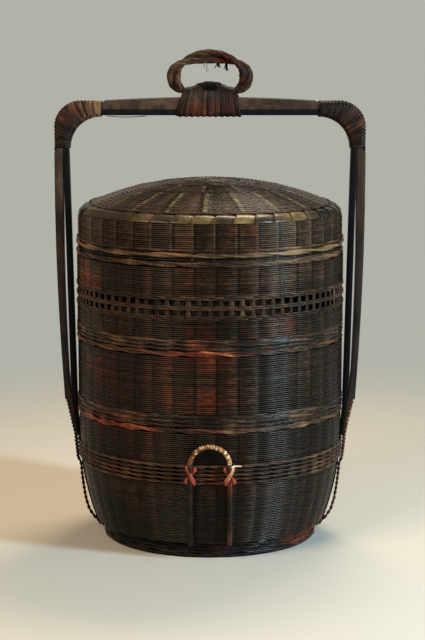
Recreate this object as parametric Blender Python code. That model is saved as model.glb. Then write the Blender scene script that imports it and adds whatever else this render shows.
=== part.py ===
"""Tiered bamboo food basket.

Three round woven tiers and a domed lid stand on each other in a tall bamboo handle, which is tied to the
bottom tier and carries a rattan ring on its bar. Metres, +Z up, the front looks along -Y, the foot stands on
Z = 0 and the axis of the stack is the Z axis.
"""

import math

import bmesh
import bpy
import numpy as np
from mathutils import Matrix, Vector

# Counts and plain ratios
SEGMENTS = 40
WINDOW_COLUMNS = 80
STAKE_WIDTH_SHARE = 0.49
MIDDLE_BASE_ROWS = 3
UPPER_BASE_ROWS = 2
WALING_ROWS = 5
CORNER_TURNS = 18
RING_BINDING_TURNS = 18
LASHING_TURNS = 2.5
LASHING_POINTS_PER_TURN = 8
RING_POINTS_PER_LAP = 28
KNEE_STEPS = 9
SHOULDER_STEPS = 4
SHOULDER_INNER_STEPS = 3
BAND_BULGE_SEGMENTS = 1.5
SHARP_ANGLE = math.radians(35)
BELLY_CURVE = 2.4
UPRIGHT_CURVE = 1.8
DOME_CURVE = 2.2
RING_CURVE_ABOVE = 2.0
RING_CURVE_BELOW = 2.8

# Fits
FIT_GAP = 0.0003
NEST_CLEARANCE = 0.0012
BINDING_CLEARANCE = 0.0005
HANDLE_CLEARANCE = 0.0004

# Stack of tiers, heights
BOTTOM_TIER_HEIGHT = 0.195
MIDDLE_TIER_HEIGHT = 0.108
UPPER_TIER_HEIGHT = 0.1237
LID_WALL_HEIGHT = 0.042
LID_SHOULDER_RISE = 0.020
LID_DOME_RISE = 0.033
LID_LEDGE_STEP = 0.0025

# Stack of tiers, radii and walls
LINING_RADIUS = 0.1876
BOTTOM_WALL = 0.0049
MIDDLE_WALL = 0.0050
UPPER_WALL = 0.0056
LID_WALL = 0.0038
CORD_PROUD = 0.0009
BELLY_DRAW_IN = 0.0353
LID_SHOULDER_WIDTH = 0.0185
LID_SHELF_WIDTH = 0.0075
CROWN_THICKNESS = 0.0042
CROWN_OUTSIDE_SHARES = (1.0, 0.85, 0.68, 0.48, 0.25)
CROWN_INSIDE_SHARES = (0.4, 0.75)

# Rim cords, base cords and thin cords
RIM_CORD_HEIGHT = 0.0088
RIM_CORD_FLAT_SHARE = 0.45
MIDDLE_BASE_HEIGHT = 0.0180
UPPER_BASE_HEIGHT = 0.0160
ROW_GROOVE = 0.0016
LID_RIM_LIFT = 0.0045
LID_RIM_CORD_HEIGHT = 0.0072
LID_BORDER_GAP = 0.0018
LID_BORDER_HEIGHT = 0.0030
LID_BORDER_DEPTH = 0.0016
LEDGE_CORD_SIZE = 0.0030
WINDOW_SILL_HEIGHT = 0.0463
WINDOW_HEIGHT = 0.0256
WINDOW_CORD_HEIGHT = 0.0046
WINDOW_CORD_DEPTH = 0.0014

# Lip hoops and floors
LIP_HEIGHT = 0.010
LIP_HOLD = 0.025
LIP_THICKNESS = 0.0036
LIP_HEADROOM = 0.0010
FLOOR_HOOP_HEIGHT = 0.0050
FLOOR_HOOP_THICKNESS = 0.0045
FLOOR_THICKNESS = 0.0040
BATTEN_WIDTH = 0.018
BATTEN_THICKNESS = 0.0045
BATTEN_SPREAD = 0.055

# Foot and twined band of the bottom tier
FOOT_HEIGHT = 0.023
FOOT_STEP_BACK = 0.0095
FOOT_THICKNESS = 0.0060
BAND_BOTTOM_HEIGHT = 0.1135
BAND_HEIGHT = 0.0300
BAND_DEPTH = 0.0024
WALL_STATION_SHARES = (0.0, 0.2, 0.45, 0.72, 1.0)

# Handle bows
BOW_WIDTH = 0.029
OUTER_SLAT = 0.012
OUTER_SLAT_END = 0.0075
INNER_SLAT = 0.008
SLAT_FOOT_THICKNESS = 0.0018
HANDLE_SPREAD = 0.0085
HANDLE_DRAW_IN = 0.0115
HAND_ROOM = 0.0917
BAR_CROWN = 0.005
BOW_CORNER_RADIUS = 0.036
KNEE_RADIUS = 0.048
OUTER_SLAT_RISE = 0.006
CLOSING_RISE = 0.027
SLAT_FULL_RISE = 0.045
STRAIGHT_RISE = 0.295
TONGUE_TIP_RISE = 0.0030
TONGUE_TIP_THICKNESS = 0.0022
TONGUE_STATION_SHARES = (0.0, 0.35, 0.7, 1.0)
UPRIGHT_STATION_SHARES = (0.0, 0.10, 0.20, 0.32, 0.45, 0.60, 0.78, 0.985)
BAR_STATION_SHARES = (0.97, 0.75, 0.5, 0.25, 0.0)
SLAT_FOOT_RISE = 0.010

# Side ribs
RIB_RADIUS = 0.0024
RIB_STANDOFF = 0.0056
RIB_TONGUE_SHARES = (1.0, 0.8, 0.4, 0.0)
RIB_HEIGHT_SHARES = (0.90, 0.76, 0.55, 0.37, 0.22, 0.11, 0.0)
RIB_STANDOFF_SHARES = (0.05, 0.25, 0.62, 0.95, 1.0, 0.55, 0.0)

# Windings
CORNER_CANE_RADIUS = 0.0015
CORNER_REBATE = 0.0025
RING_CANE_RADIUS = 0.00135
RING_BINDING_FOOT_HALF_WIDTH = 0.047
RING_BINDING_TOP_HALF_WIDTH = 0.034
RING_BINDING_SHOULDER = 0.0025
LASHING_CANE_RADIUS = 0.0012

# Carrying ring and saddle
RING_STRAND_RADIUS = 0.0048
RING_LAY_RADIUS = 0.0058
RING_HALF_WIDTH = 0.052
RING_HALF_HEIGHT = 0.0267
RING_BOUND_ANGLE = math.radians(38)
RING_HALF_TWIST = 1.5 * math.pi
SADDLE_HALF_LENGTH = 0.028
SADDLE_HALF_WIDTH = 0.007
SADDLE_RISE = 0.0080
SADDLE_EDGE = 0.0015
SADDLE_STATION_SHARES = (-1.0, -0.75, -0.4, 0.0, 0.4, 0.75, 1.0)

# Front and back loops
LOOP_HALF_WIDTH = 0.0275
LOOP_RISE = 0.0265
LOOP_LEAN = 0.003
LOOP_SPRING_RISE = 0.0015
LOOP_LEG_RADIUS = 0.0040
LOOP_ARCH_RADIUS = 0.0033
LOOP_STEPS = 8

# Colours, linear RGB, and roughness
DARK_WEAVE = (0.035, 0.016, 0.009, 0.42)
RED_CANE = (0.17, 0.042, 0.015, 0.38)
BROWN_SLAT = (0.11, 0.058, 0.026, 0.35)
BLACK_SLAT = (0.020, 0.013, 0.010, 0.40)
TAN_CANE = (0.33, 0.17, 0.07, 0.45)
DARK_RATTAN = (0.085, 0.034, 0.015, 0.40)

# Worked out from the sizes above
FACET = math.cos(math.pi / SEGMENTS)
NEST_RADIUS = LINING_RADIUS + NEST_CLEARANCE
SEAT_RADIUS = LINING_RADIUS + FIT_GAP
BOTTOM_RADIUS = SEAT_RADIUS + BOTTOM_WALL
MIDDLE_RADIUS = NEST_RADIUS + MIDDLE_WALL
UPPER_RADIUS = NEST_RADIUS + UPPER_WALL
LID_RADIUS = NEST_RADIUS + LID_WALL
CORD_RADIUS = max(BOTTOM_RADIUS, MIDDLE_RADIUS, UPPER_RADIUS, LID_RADIUS) + CORD_PROUD
MIDDLE_BASE = BOTTOM_TIER_HEIGHT + FIT_GAP
UPPER_BASE = MIDDLE_BASE + MIDDLE_TIER_HEIGHT + FIT_GAP
LID_BASE = UPPER_BASE + UPPER_TIER_HEIGHT + FIT_GAP
LEDGE_RISE = LID_WALL_HEIGHT + LID_SHOULDER_RISE
LEDGE_RADIUS = LID_RADIUS - LID_SHOULDER_WIDTH
LID_APEX = LID_BASE + LEDGE_RISE + LID_LEDGE_STEP + LID_DOME_RISE
BAND_TOP = BAND_BOTTOM_HEIGHT + BAND_HEIGHT
FLOOR_HOOP_RISE = LIP_HEIGHT + LIP_HEADROOM
RIM_UNDERSIDE = BOTTOM_TIER_HEIGHT - RIM_CORD_HEIGHT
UPRIGHT_BASE = CORD_RADIUS + HANDLE_CLEARANCE
HANDLE_HALF_WIDTH = UPRIGHT_BASE + HANDLE_SPREAD + INNER_SLAT + FIT_GAP + OUTER_SLAT
BAR_UNDERSIDE = LID_APEX + HAND_ROOM
BAR_SPLIT = BAR_UNDERSIDE + INNER_SLAT
BAR_END_TOP = BAR_SPLIT + FIT_GAP + OUTER_SLAT
BAR_TOP = BAR_END_TOP + BAR_CROWN
KNEE_X = UPRIGHT_BASE + HANDLE_SPREAD - KNEE_RADIUS
KNEE_Z = BAR_UNDERSIDE - KNEE_RADIUS
OUTER_SLAT_FOOT = BOTTOM_TIER_HEIGHT + OUTER_SLAT_RISE
TONGUE_TIP = BAND_TOP + TONGUE_TIP_RISE
RING_CENTRE = BAR_TOP + FIT_GAP + RING_STRAND_RADIUS + RING_HALF_HEIGHT
LASHING_SEAT = LOOP_LEG_RADIUS + LASHING_CANE_RADIUS + FIT_GAP
LASHING_REACH = LASHING_SEAT / math.cos(math.pi / LASHING_POINTS_PER_TURN)


def clamp(value, low=0.0, high=1.0):
    return max(low, min(high, value))


def mix(start, end, share):
    return start + (end - start) * share


def clear_scene():
    for item in list(bpy.data.objects):
        bpy.data.objects.remove(item, do_unlink=True)


def give_material(item, finish):
    """Gives the object its own Principled material, from a colour and a roughness."""
    material = bpy.data.materials.new(item.name)
    material.use_nodes = True
    shader = material.node_tree.nodes["Principled BSDF"]
    shader.inputs["Base Color"].default_value = (*finish[:3], 1.0)
    shader.inputs["Roughness"].default_value = finish[3]
    shader.inputs["Metallic"].default_value = 0.0
    material.diffuse_color = (*finish[:3], 1.0)
    item.data.materials.append(material)


def add_mesh(name, bm, finish, body):
    """Turns a bmesh, modelled in world coordinates, into an object that hangs on its body's empty."""
    bmesh.ops.recalc_face_normals(bm, faces=bm.faces)
    bmesh.ops.translate(bm, vec=-body.location, verts=bm.verts)
    mesh = bpy.data.meshes.new(name)
    bm.to_mesh(mesh)
    bm.free()
    mesh.shade_smooth()
    mesh.set_sharp_from_angle(angle=SHARP_ANGLE)
    item = bpy.data.objects.new(name, mesh)
    bpy.context.collection.objects.link(item)
    item.parent = body
    give_material(item, finish)
    return item


def add_body(name, height, parent=None):
    """An empty on the stack's axis, which carries the pieces of one body."""
    empty = bpy.data.objects.new(name, None)
    empty.empty_display_size = FOOT_HEIGHT
    bpy.context.collection.objects.link(empty)
    empty.location = (0.0, 0.0, height)
    if parent:
        empty.parent = parent
        empty.matrix_parent_inverse = Matrix.Translation(parent.location).inverted()
    return empty


def add_turned(name, profile, finish, body):
    """Turns a closed outline of (radius, height) points round the Z axis, with flats facing X and Y."""
    bm = bmesh.new()
    half_step = math.pi / SEGMENTS
    start = [bm.verts.new((r * math.cos(half_step), r * math.sin(half_step), z)) for r, z in profile]
    edges = [bm.edges.new((a, b)) for a, b in zip(start, start[1:] + start[:1])]
    bmesh.ops.spin(
        bm, geom=start + edges, cent=(0.0, 0.0, 0.0), axis=(0.0, 0.0, 1.0),
        angle=2 * math.pi, steps=SEGMENTS, use_merge=True,
    )
    bmesh.ops.remove_doubles(bm, verts=bm.verts, dist=FIT_GAP / 10)
    return add_mesh(name, bm, finish, body)


def add_ring(name, inner, outer, bottom, height, finish, body):
    """A plain flat hoop."""
    top = bottom + height
    return add_turned(name, [(inner, bottom), (outer, bottom), (outer, top), (inner, top)], finish, body)


def add_disc(name, radius, bottom, thickness, finish, body):
    bm = bmesh.new()
    bmesh.ops.create_cone(
        bm, cap_ends=True, segments=SEGMENTS, radius1=radius, radius2=radius, depth=thickness,
    )
    bmesh.ops.rotate(bm, verts=bm.verts, cent=(0.0, 0.0, 0.0), matrix=Matrix.Rotation(math.pi / SEGMENTS, 3, "Z"))
    bmesh.ops.translate(bm, verts=bm.verts, vec=(0.0, 0.0, bottom + thickness / 2))
    return add_mesh(name, bm, finish, body)


def add_box(name, centre, size, finish, body):
    bm = bmesh.new()
    bmesh.ops.create_cube(bm, size=1.0)
    bmesh.ops.scale(bm, vec=size, verts=bm.verts)
    bmesh.ops.translate(bm, vec=centre, verts=bm.verts)
    return add_mesh(name, bm, finish, body)


def add_slat(name, stations, width, finish, body):
    """A flat slat of constant width in Y, bent along pairs of (x, z) points on its two faces."""
    bm = bmesh.new()
    half = width / 2
    sections = []
    for outside, inside in stations:
        corners = ((outside, -half), (outside, half), (inside, half), (inside, -half))
        sections.append([bm.verts.new((point[0], y, point[1])) for point, y in corners])
    for first, second in zip(sections, sections[1:]):
        for k in range(4):
            bm.faces.new((first[k], first[(k + 1) % 4], second[(k + 1) % 4], second[k]))
    bm.faces.new(sections[0])
    bm.faces.new(sections[-1])
    return add_mesh(name, bm, finish, body)


def add_tube(name, points, radius, finish, body, resolution=1, radii=None, cyclic=False):
    """A tube along straight runs between its points, with filled caps unless it closes on itself."""
    curve = bpy.data.curves.new(name, "CURVE")
    curve.dimensions = "3D"
    curve.bevel_depth = radius
    curve.bevel_resolution = resolution
    curve.use_fill_caps = not cyclic
    spline = curve.splines.new("POLY")
    spline.points.add(len(points) - 1)
    spline.use_cyclic_u = cyclic
    for index, point in enumerate(points):
        local = Vector(point) - body.location
        spline.points[index].co = (*local, 1.0)
        spline.points[index].radius = radii[index] / radius if radii else 1.0
    item = bpy.data.objects.new(name, curve)
    bpy.context.collection.objects.link(item)
    item.parent = body
    give_material(item, finish)
    return item


def print_least_gap(name, points, radius, loop_length):
    """Prints the least gap of a winding to its own other turns, measured on points along it."""
    samples = []
    travel = []
    done = 0.0
    for first, second in zip(points, points[1:]):
        a = np.array(first)
        b = np.array(second)
        length = float(np.linalg.norm(b - a))
        count = max(2, int(length / radius))
        for k in range(count):
            samples.append(a + (b - a) * k / count)
            travel.append(done + length * k / count)
        done += length
    cloud = np.array(samples)
    along = np.array(travel)
    least = math.inf
    for k in range(len(cloud)):
        far = np.abs(along - along[k]) > loop_length / 2
        if far.any():
            least = min(least, float(np.linalg.norm(cloud[far] - cloud[k], axis=1).min()))
    print(f"{name}: least gap to itself {(least - 2 * radius) * 1000:.2f} mm")


def belly_radius(height):
    """Outer radius of the bottom tier's wall, which draws in towards the foot."""
    share = clamp(1.0 - height / BOTTOM_TIER_HEIGHT)
    return BOTTOM_RADIUS - BELLY_DRAW_IN * share**BELLY_CURVE


def belly_heights():
    """Heights of the corners of the bottom wall's outline, from its lower edge to the rim cord."""
    start = FOOT_HEIGHT + FIT_GAP
    low = [mix(start, BAND_BOTTOM_HEIGHT, share) for share in WALL_STATION_SHARES]
    return low + [BAND_TOP, RIM_UNDERSIDE - FIT_GAP]


def foot_radius():
    return belly_radius(FOOT_HEIGHT) - FOOT_STEP_BACK


def rim_cord_outline(top, inner):
    """Cord with a flat top for the piece above to stand on, and a round outer side."""
    bottom = top - RIM_CORD_HEIGHT
    flat = mix(inner, CORD_RADIUS, RIM_CORD_FLAT_SHARE)
    bulge = RIM_CORD_HEIGHT * RIM_CORD_FLAT_SHARE / 2
    middle = (top + bottom) / 2
    return [
        (inner, bottom), (flat, bottom), (CORD_RADIUS, middle - bulge),
        (CORD_RADIUS, middle + bulge), (flat, top), (inner, top),
    ]


def rows_outline(inner_bottom, inner_top, depth, bottom, height, rows):
    """Stack of twined rows: a straight or sloping inner side and a round crest on each row."""
    points = [(inner_top, bottom + height), (inner_bottom, bottom)]
    for row in range(2 * rows + 1):
        share = row / (2 * rows)
        groove = 0.0 if row % 2 else ROW_GROOVE
        points.append((mix(inner_bottom, inner_top, share) + depth - groove, bottom + height * share))
    return points


def add_lip_hoop(name, rim, finish, body):
    inner = LINING_RADIUS - LIP_THICKNESS
    add_ring(name, inner, LINING_RADIUS, rim - LIP_HOLD, LIP_HOLD + LIP_HEIGHT, finish, body)


def add_battens(prefix, inner_radius, top, body):
    """Two flat battens that run front to back under a floor, inside the hoop of the given inner radius."""
    reach = inner_radius * FACET - FIT_GAP
    length = 2 * math.sqrt(reach**2 - (BATTEN_SPREAD + BATTEN_WIDTH / 2) ** 2)
    for side, word in ((-1, "left"), (1, "right")):
        centre = (side * BATTEN_SPREAD, 0.0, top - FIT_GAP - BATTEN_THICKNESS / 2)
        size = (BATTEN_WIDTH, length, BATTEN_THICKNESS)
        add_box(f"{prefix}_floor_batten_{word}", centre, size, BROWN_SLAT, body)


def add_bottom_tier(body):
    heights = belly_heights()
    outside = [(belly_radius(z), z) for z in heights]
    hoop_bottom = BOTTOM_TIER_HEIGHT - LIP_HOLD
    top = heights[-1]
    inside = [(SEAT_RADIUS, top), (SEAT_RADIUS, hoop_bottom - FIT_GAP)]
    inside += [(belly_radius(z) - BOTTOM_WALL, z) for z in heights[:len(WALL_STATION_SHARES)][::-2]]
    add_turned("bottom_tier_wall", outside + inside, DARK_WEAVE, body)

    hoop_radius = foot_radius()
    hoop_inner = hoop_radius - FOOT_THICKNESS
    add_ring("foot_hoop", hoop_inner, hoop_radius, 0.0, FOOT_HEIGHT, DARK_RATTAN, body)
    floor_radius = belly_radius(heights[0]) - BOTTOM_WALL - FIT_GAP
    add_disc("bottom_tier_floor", floor_radius, FOOT_HEIGHT + FIT_GAP, FLOOR_THICKNESS, TAN_CANE, body)
    add_battens("bottom", hoop_inner, FOOT_HEIGHT, body)
    outline = rim_cord_outline(BOTTOM_TIER_HEIGHT, SEAT_RADIUS)
    add_turned("bottom_tier_rim_cord", outline, RED_CANE, body)
    add_lip_hoop("bottom_tier_lip_hoop", BOTTOM_TIER_HEIGHT, BROWN_SLAT, body)
    add_waling_band(body)


def add_waling_band(body):
    """Twined rows round the bottom tier, which bulge over the handle's slats at both sides."""
    inner_bottom = belly_radius(BAND_BOTTOM_HEIGHT) + FIT_GAP
    inner_top = belly_radius(BAND_TOP) + FIT_GAP
    outline = rows_outline(inner_bottom, inner_top, BAND_DEPTH, BAND_BOTTOM_HEIGHT, BAND_HEIGHT, WALING_ROWS)
    band = add_turned("waling_band", outline, RED_CANE, body)
    reach = BAND_BULGE_SEGMENTS * math.pi / SEGMENTS
    for vertex in band.data.vertices:
        x, y = vertex.co.x, vertex.co.y
        if math.atan2(abs(y), abs(x)) < reach:
            radius = math.hypot(x, y)
            scale = (radius + SLAT_FOOT_THICKNESS + FIT_GAP) / radius
            vertex.co.x = x * scale
            vertex.co.y = y * scale


def add_raised_floor(prefix, base, body):
    """Floor of an upper piece, on its own hoop above the lip of the piece below."""
    hoop_bottom = base + FLOOR_HOOP_RISE
    hoop_top = hoop_bottom + FLOOR_HOOP_HEIGHT
    outer = NEST_RADIUS - FIT_GAP
    inner = outer - FLOOR_HOOP_THICKNESS
    name = f"{prefix}_tier_floor"
    add_ring(f"{name}_hoop", inner, outer, hoop_bottom, FLOOR_HOOP_HEIGHT, BROWN_SLAT, body)
    add_disc(name, outer, hoop_top + FIT_GAP, FLOOR_THICKNESS, TAN_CANE, body)
    add_battens(prefix, inner, hoop_top, body)


def add_base_cord(prefix, base, height, rows, body):
    outline = rows_outline(NEST_RADIUS, NEST_RADIUS, CORD_RADIUS - NEST_RADIUS, base, height, rows)
    add_turned(f"{prefix}_tier_base_cord", outline, RED_CANE, body)


def add_middle_tier(body):
    rim = MIDDLE_BASE + MIDDLE_TIER_HEIGHT
    bottom = MIDDLE_BASE + MIDDLE_BASE_HEIGHT + FIT_GAP
    top = rim - RIM_CORD_HEIGHT - FIT_GAP
    hoop_bottom = rim - LIP_HOLD - FIT_GAP
    outline = [
        (NEST_RADIUS, bottom), (MIDDLE_RADIUS, bottom), (MIDDLE_RADIUS, top),
        (SEAT_RADIUS, top), (SEAT_RADIUS, hoop_bottom), (NEST_RADIUS, hoop_bottom - LIP_HEADROOM),
    ]
    add_turned("middle_tier_wall", outline, DARK_WEAVE, body)
    add_base_cord("middle", MIDDLE_BASE, MIDDLE_BASE_HEIGHT, MIDDLE_BASE_ROWS, body)
    add_turned("middle_tier_rim_cord", rim_cord_outline(rim, SEAT_RADIUS), RED_CANE, body)
    add_lip_hoop("middle_tier_lip_hoop", rim, BROWN_SLAT, body)
    add_raised_floor("middle", MIDDLE_BASE, body)


def add_upper_wall(bottom, top, body):
    """Wall with a row of tall slots between its stakes, two windows high once the cord crosses them."""
    sill = UPPER_BASE + WINDOW_SILL_HEIGHT
    head = sill + WINDOW_HEIGHT
    hoop_bottom = UPPER_BASE + UPPER_TIER_HEIGHT - LIP_HOLD - FIT_GAP
    pitch = 2 * math.pi / WINDOW_COLUMNS
    half_stake = pitch * STAKE_WIDTH_SHARE / 2
    bm = bmesh.new()

    def ring(radius, height, offset):
        angles = [pitch * (column + 0.5) + offset for column in range(WINDOW_COLUMNS)]
        return [bm.verts.new((radius * math.cos(a), radius * math.sin(a), height)) for a in angles]

    def skin(radius_low, radius_high, ledge):
        rows = {
            "bottom": ring(radius_low, bottom, 0.0),
            "sill_left": ring(radius_low, sill, -half_stake),
            "sill_right": ring(radius_low, sill, half_stake),
            "head_left": ring(radius_low, head, -half_stake),
            "head_right": ring(radius_low, head, half_stake),
            "ledge": ring(radius_low, hoop_bottom - LIP_HEADROOM, 0.0) if ledge else None,
            "step": ring(radius_high, hoop_bottom, 0.0) if ledge else None,
            "top": ring(radius_high, top, 0.0),
        }
        above = rows["ledge"] or rows["top"]
        for k in range(WINDOW_COLUMNS):
            n = (k + 1) % WINDOW_COLUMNS
            bm.faces.new((rows["bottom"][k], rows["bottom"][n], rows["sill_left"][n], rows["sill_right"][k]))
            bm.faces.new((rows["bottom"][k], rows["sill_right"][k], rows["sill_left"][k]))
            bm.faces.new((
                rows["sill_left"][k], rows["sill_right"][k], rows["head_right"][k], rows["head_left"][k],
            ))
            bm.faces.new((rows["head_right"][k], rows["head_left"][n], above[n], above[k]))
            bm.faces.new((rows["head_left"][k], rows["head_right"][k], above[k]))
            if ledge:
                bm.faces.new((rows["ledge"][k], rows["ledge"][n], rows["step"][n], rows["step"][k]))
                bm.faces.new((rows["step"][k], rows["step"][n], rows["top"][n], rows["top"][k]))
        return rows

    outer = skin(UPPER_RADIUS, UPPER_RADIUS, False)
    inner = skin(NEST_RADIUS, SEAT_RADIUS, True)
    for k in range(WINDOW_COLUMNS):
        n = (k + 1) % WINDOW_COLUMNS
        joins = (
            ("bottom", k, "bottom", n), ("top", k, "top", n),
            ("sill_right", k, "sill_left", n), ("head_right", k, "head_left", n),
            ("sill_left", k, "head_left", k), ("sill_right", k, "head_right", k),
        )
        for first, i, second, j in joins:
            bm.faces.new((outer[first][i], outer[second][j], inner[second][j], inner[first][i]))
    add_mesh("upper_tier_wall", bm, DARK_WEAVE, body)


def add_upper_tier(body):
    rim = UPPER_BASE + UPPER_TIER_HEIGHT
    bottom = UPPER_BASE + UPPER_BASE_HEIGHT + FIT_GAP
    add_upper_wall(bottom, rim - RIM_CORD_HEIGHT - FIT_GAP, body)
    cord_bottom = UPPER_BASE + WINDOW_SILL_HEIGHT + (WINDOW_HEIGHT - WINDOW_CORD_HEIGHT) / 2
    inner = UPPER_RADIUS / FACET + FIT_GAP
    add_ring(
        "upper_tier_window_cord", inner, inner + WINDOW_CORD_DEPTH, cord_bottom, WINDOW_CORD_HEIGHT,
        RED_CANE, body,
    )
    add_base_cord("upper", UPPER_BASE, UPPER_BASE_HEIGHT, UPPER_BASE_ROWS, body)
    add_turned("upper_tier_rim_cord", rim_cord_outline(rim, SEAT_RADIUS), RED_CANE, body)
    add_lip_hoop("upper_tier_lip_hoop", rim, BROWN_SLAT, body)
    add_raised_floor("upper", UPPER_BASE, body)


def shoulder_point(share, inset):
    """Point on the rounded shoulder of the lid, from the wall (0) to the ledge (1), inset from its surface."""
    turn = share * math.pi / 2
    width = LID_SHOULDER_WIDTH - inset
    rise = LID_SHOULDER_RISE - inset
    return LEDGE_RADIUS + width * math.cos(turn), LID_BASE + LID_WALL_HEIGHT + rise * math.sin(turn)


def dome_height(radius):
    """Height of the crown's outer surface."""
    return LID_APEX - LID_DOME_RISE * (radius / LEDGE_RADIUS) ** DOME_CURVE


def add_lid(body):
    shelf = LEDGE_RADIUS - LID_SHELF_WIDTH
    ledge = LID_BASE + LEDGE_RISE
    outside = [shoulder_point(k / SHOULDER_STEPS, 0.0) for k in range(SHOULDER_STEPS + 1)]
    inside = [shoulder_point(k / SHOULDER_INNER_STEPS, LID_WALL) for k in range(SHOULDER_INNER_STEPS, -1, -1)]
    skirt = [(LID_RADIUS, LID_BASE)] + outside + [(shelf, ledge), (shelf, ledge - LID_WALL)] + inside
    skirt.append((NEST_RADIUS, LID_BASE))
    add_turned("lid_skirt", skirt, DARK_WEAVE, body)

    rim = LEDGE_RADIUS - FIT_GAP
    bottom = ledge + FIT_GAP
    crown = [(rim, bottom)] + [(rim * share, dome_height(rim * share)) for share in CROWN_OUTSIDE_SHARES]
    crown += [(0.0, LID_APEX), (0.0, LID_APEX - CROWN_THICKNESS)]
    for share in CROWN_INSIDE_SHARES:
        crown.append((shelf * share, dome_height(shelf * share) - CROWN_THICKNESS))
    crown.append((shelf, bottom))
    add_turned("lid_crown", crown, DARK_WEAVE, body)

    cord_bottom = LID_BASE + LID_RIM_LIFT
    cord_top = cord_bottom + LID_RIM_CORD_HEIGHT
    inner = LID_RADIUS + FIT_GAP
    bevel = LID_RIM_CORD_HEIGHT * RIM_CORD_FLAT_SHARE / 2
    outline = [
        (inner, cord_bottom), (CORD_RADIUS, cord_bottom + bevel),
        (CORD_RADIUS, cord_top - bevel), (inner, cord_top),
    ]
    add_turned("lid_rim_cord", outline, RED_CANE, body)
    border_bottom = cord_top + LID_BORDER_GAP
    border_outer = inner + LID_BORDER_DEPTH
    add_ring("lid_border_cord", inner, border_outer, border_bottom, LID_BORDER_HEIGHT, RED_CANE, body)
    start, foot = shoulder_point(1.0, 0.0)
    outer = start + LEDGE_CORD_SIZE
    outline = [
        (start + FIT_GAP, foot + FIT_GAP), (outer, foot + FIT_GAP),
        (outer, foot + LEDGE_CORD_SIZE), (start + FIT_GAP, foot + LEDGE_CORD_SIZE),
    ]
    add_turned("lid_ledge_cord", outline, DARK_RATTAN, body)


def upright_outside(height):
    """Half width of the handle over the outer bow, which draws in towards the basket's foot."""
    share = clamp((height - OUTER_SLAT_FOOT) / STRAIGHT_RISE)
    return HANDLE_HALF_WIDTH - HANDLE_DRAW_IN * (1.0 - share) ** UPRIGHT_CURVE


def inner_slat_face(height):
    """Inner face of the inner bow: along the wall below the rim, then clear of the cords and up to the knee."""
    if height >= BOTTOM_TIER_HEIGHT:
        share = (height - BOTTOM_TIER_HEIGHT) / (KNEE_Z - BOTTOM_TIER_HEIGHT)
        return mix(UPRIGHT_BASE, UPRIGHT_BASE + HANDLE_SPREAD, share)
    if height >= RIM_UNDERSIDE:
        return UPRIGHT_BASE
    at_band = belly_radius(BAND_TOP) * FACET + FIT_GAP
    if height >= BAND_TOP:
        return mix(at_band, UPRIGHT_BASE, (height - BAND_TOP) / (RIM_UNDERSIDE - BAND_TOP))
    if height >= FOOT_HEIGHT:
        return belly_radius(height) * FACET + FIT_GAP
    start = foot_radius() * FACET + FIT_GAP
    end = belly_radius(FOOT_HEIGHT + FIT_GAP) * FACET + FIT_GAP
    return mix(start, end, (height - SLAT_FOOT_RISE) / (FOOT_HEIGHT - SLAT_FOOT_RISE))


def inner_slat_thickness(height):
    share = clamp((height - BAND_TOP) / (BOTTOM_TIER_HEIGHT + SLAT_FULL_RISE - BAND_TOP))
    return mix(SLAT_FOOT_THICKNESS, INNER_SLAT, share)


def inner_slat_back(height):
    """Outer face of the inner bow."""
    return inner_slat_face(height) + inner_slat_thickness(height)


def tongue_face(height):
    """Outer face of the outer bow's thin lower tongue, on which the side rib lies."""
    tip = inner_slat_back(TONGUE_TIP) + FIT_GAP + TONGUE_TIP_THICKNESS
    shoulder = upright_outside(OUTER_SLAT_FOOT) - 2 * RIB_RADIUS - FIT_GAP
    return mix(tip, shoulder, (height - TONGUE_TIP) / (OUTER_SLAT_FOOT - TONGUE_TIP))


def outer_slat_back(height):
    """Inner face of the outer bow, on the inner bow at its foot and spread from it above."""
    seated = inner_slat_back(height) + FIT_GAP
    if height <= BOTTOM_TIER_HEIGHT:
        return seated
    share = clamp((height - OUTER_SLAT_FOOT) / STRAIGHT_RISE)
    free = upright_outside(height) - mix(OUTER_SLAT_END, OUTER_SLAT, share)
    closing = OUTER_SLAT_FOOT + CLOSING_RISE - BOTTOM_TIER_HEIGHT
    return max(seated, mix(seated, free, clamp((height - BOTTOM_TIER_HEIGHT) / closing)))


def knee_point(turn, side, top, radius):
    """Where the ray from the knee's centre meets the rounded corner of a bow's face."""
    dx, dz = math.cos(turn), math.sin(turn)
    arc_x, arc_z = side - radius, top - radius
    if dx > 0:
        z = KNEE_Z + (side - KNEE_X) * dz / dx
        if z <= arc_z:
            return side, z
    if dz > 0:
        x = KNEE_X + (top - KNEE_Z) * dx / dz
        if x <= arc_x:
            return x, top
    ox, oz = KNEE_X - arc_x, KNEE_Z - arc_z
    along = ox * dx + oz * dz
    reach = math.sqrt(along**2 - (ox**2 + oz**2 - radius**2)) - along
    return KNEE_X + reach * dx, KNEE_Z + reach * dz


def outer_knee(turn, offset):
    return knee_point(turn, HANDLE_HALF_WIDTH + offset, BAR_END_TOP + offset, BOW_CORNER_RADIUS + offset)


def inner_knee(turn, offset):
    reach = KNEE_RADIUS - offset
    return KNEE_X + reach * math.cos(turn), KNEE_Z + reach * math.sin(turn)


def mirrored(stations):
    """The other half of a bow, from the middle of the bar down to the other foot."""
    return [((-a[0], a[1]), (-b[0], b[1])) for a, b in reversed(stations[:-1])]


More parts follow.
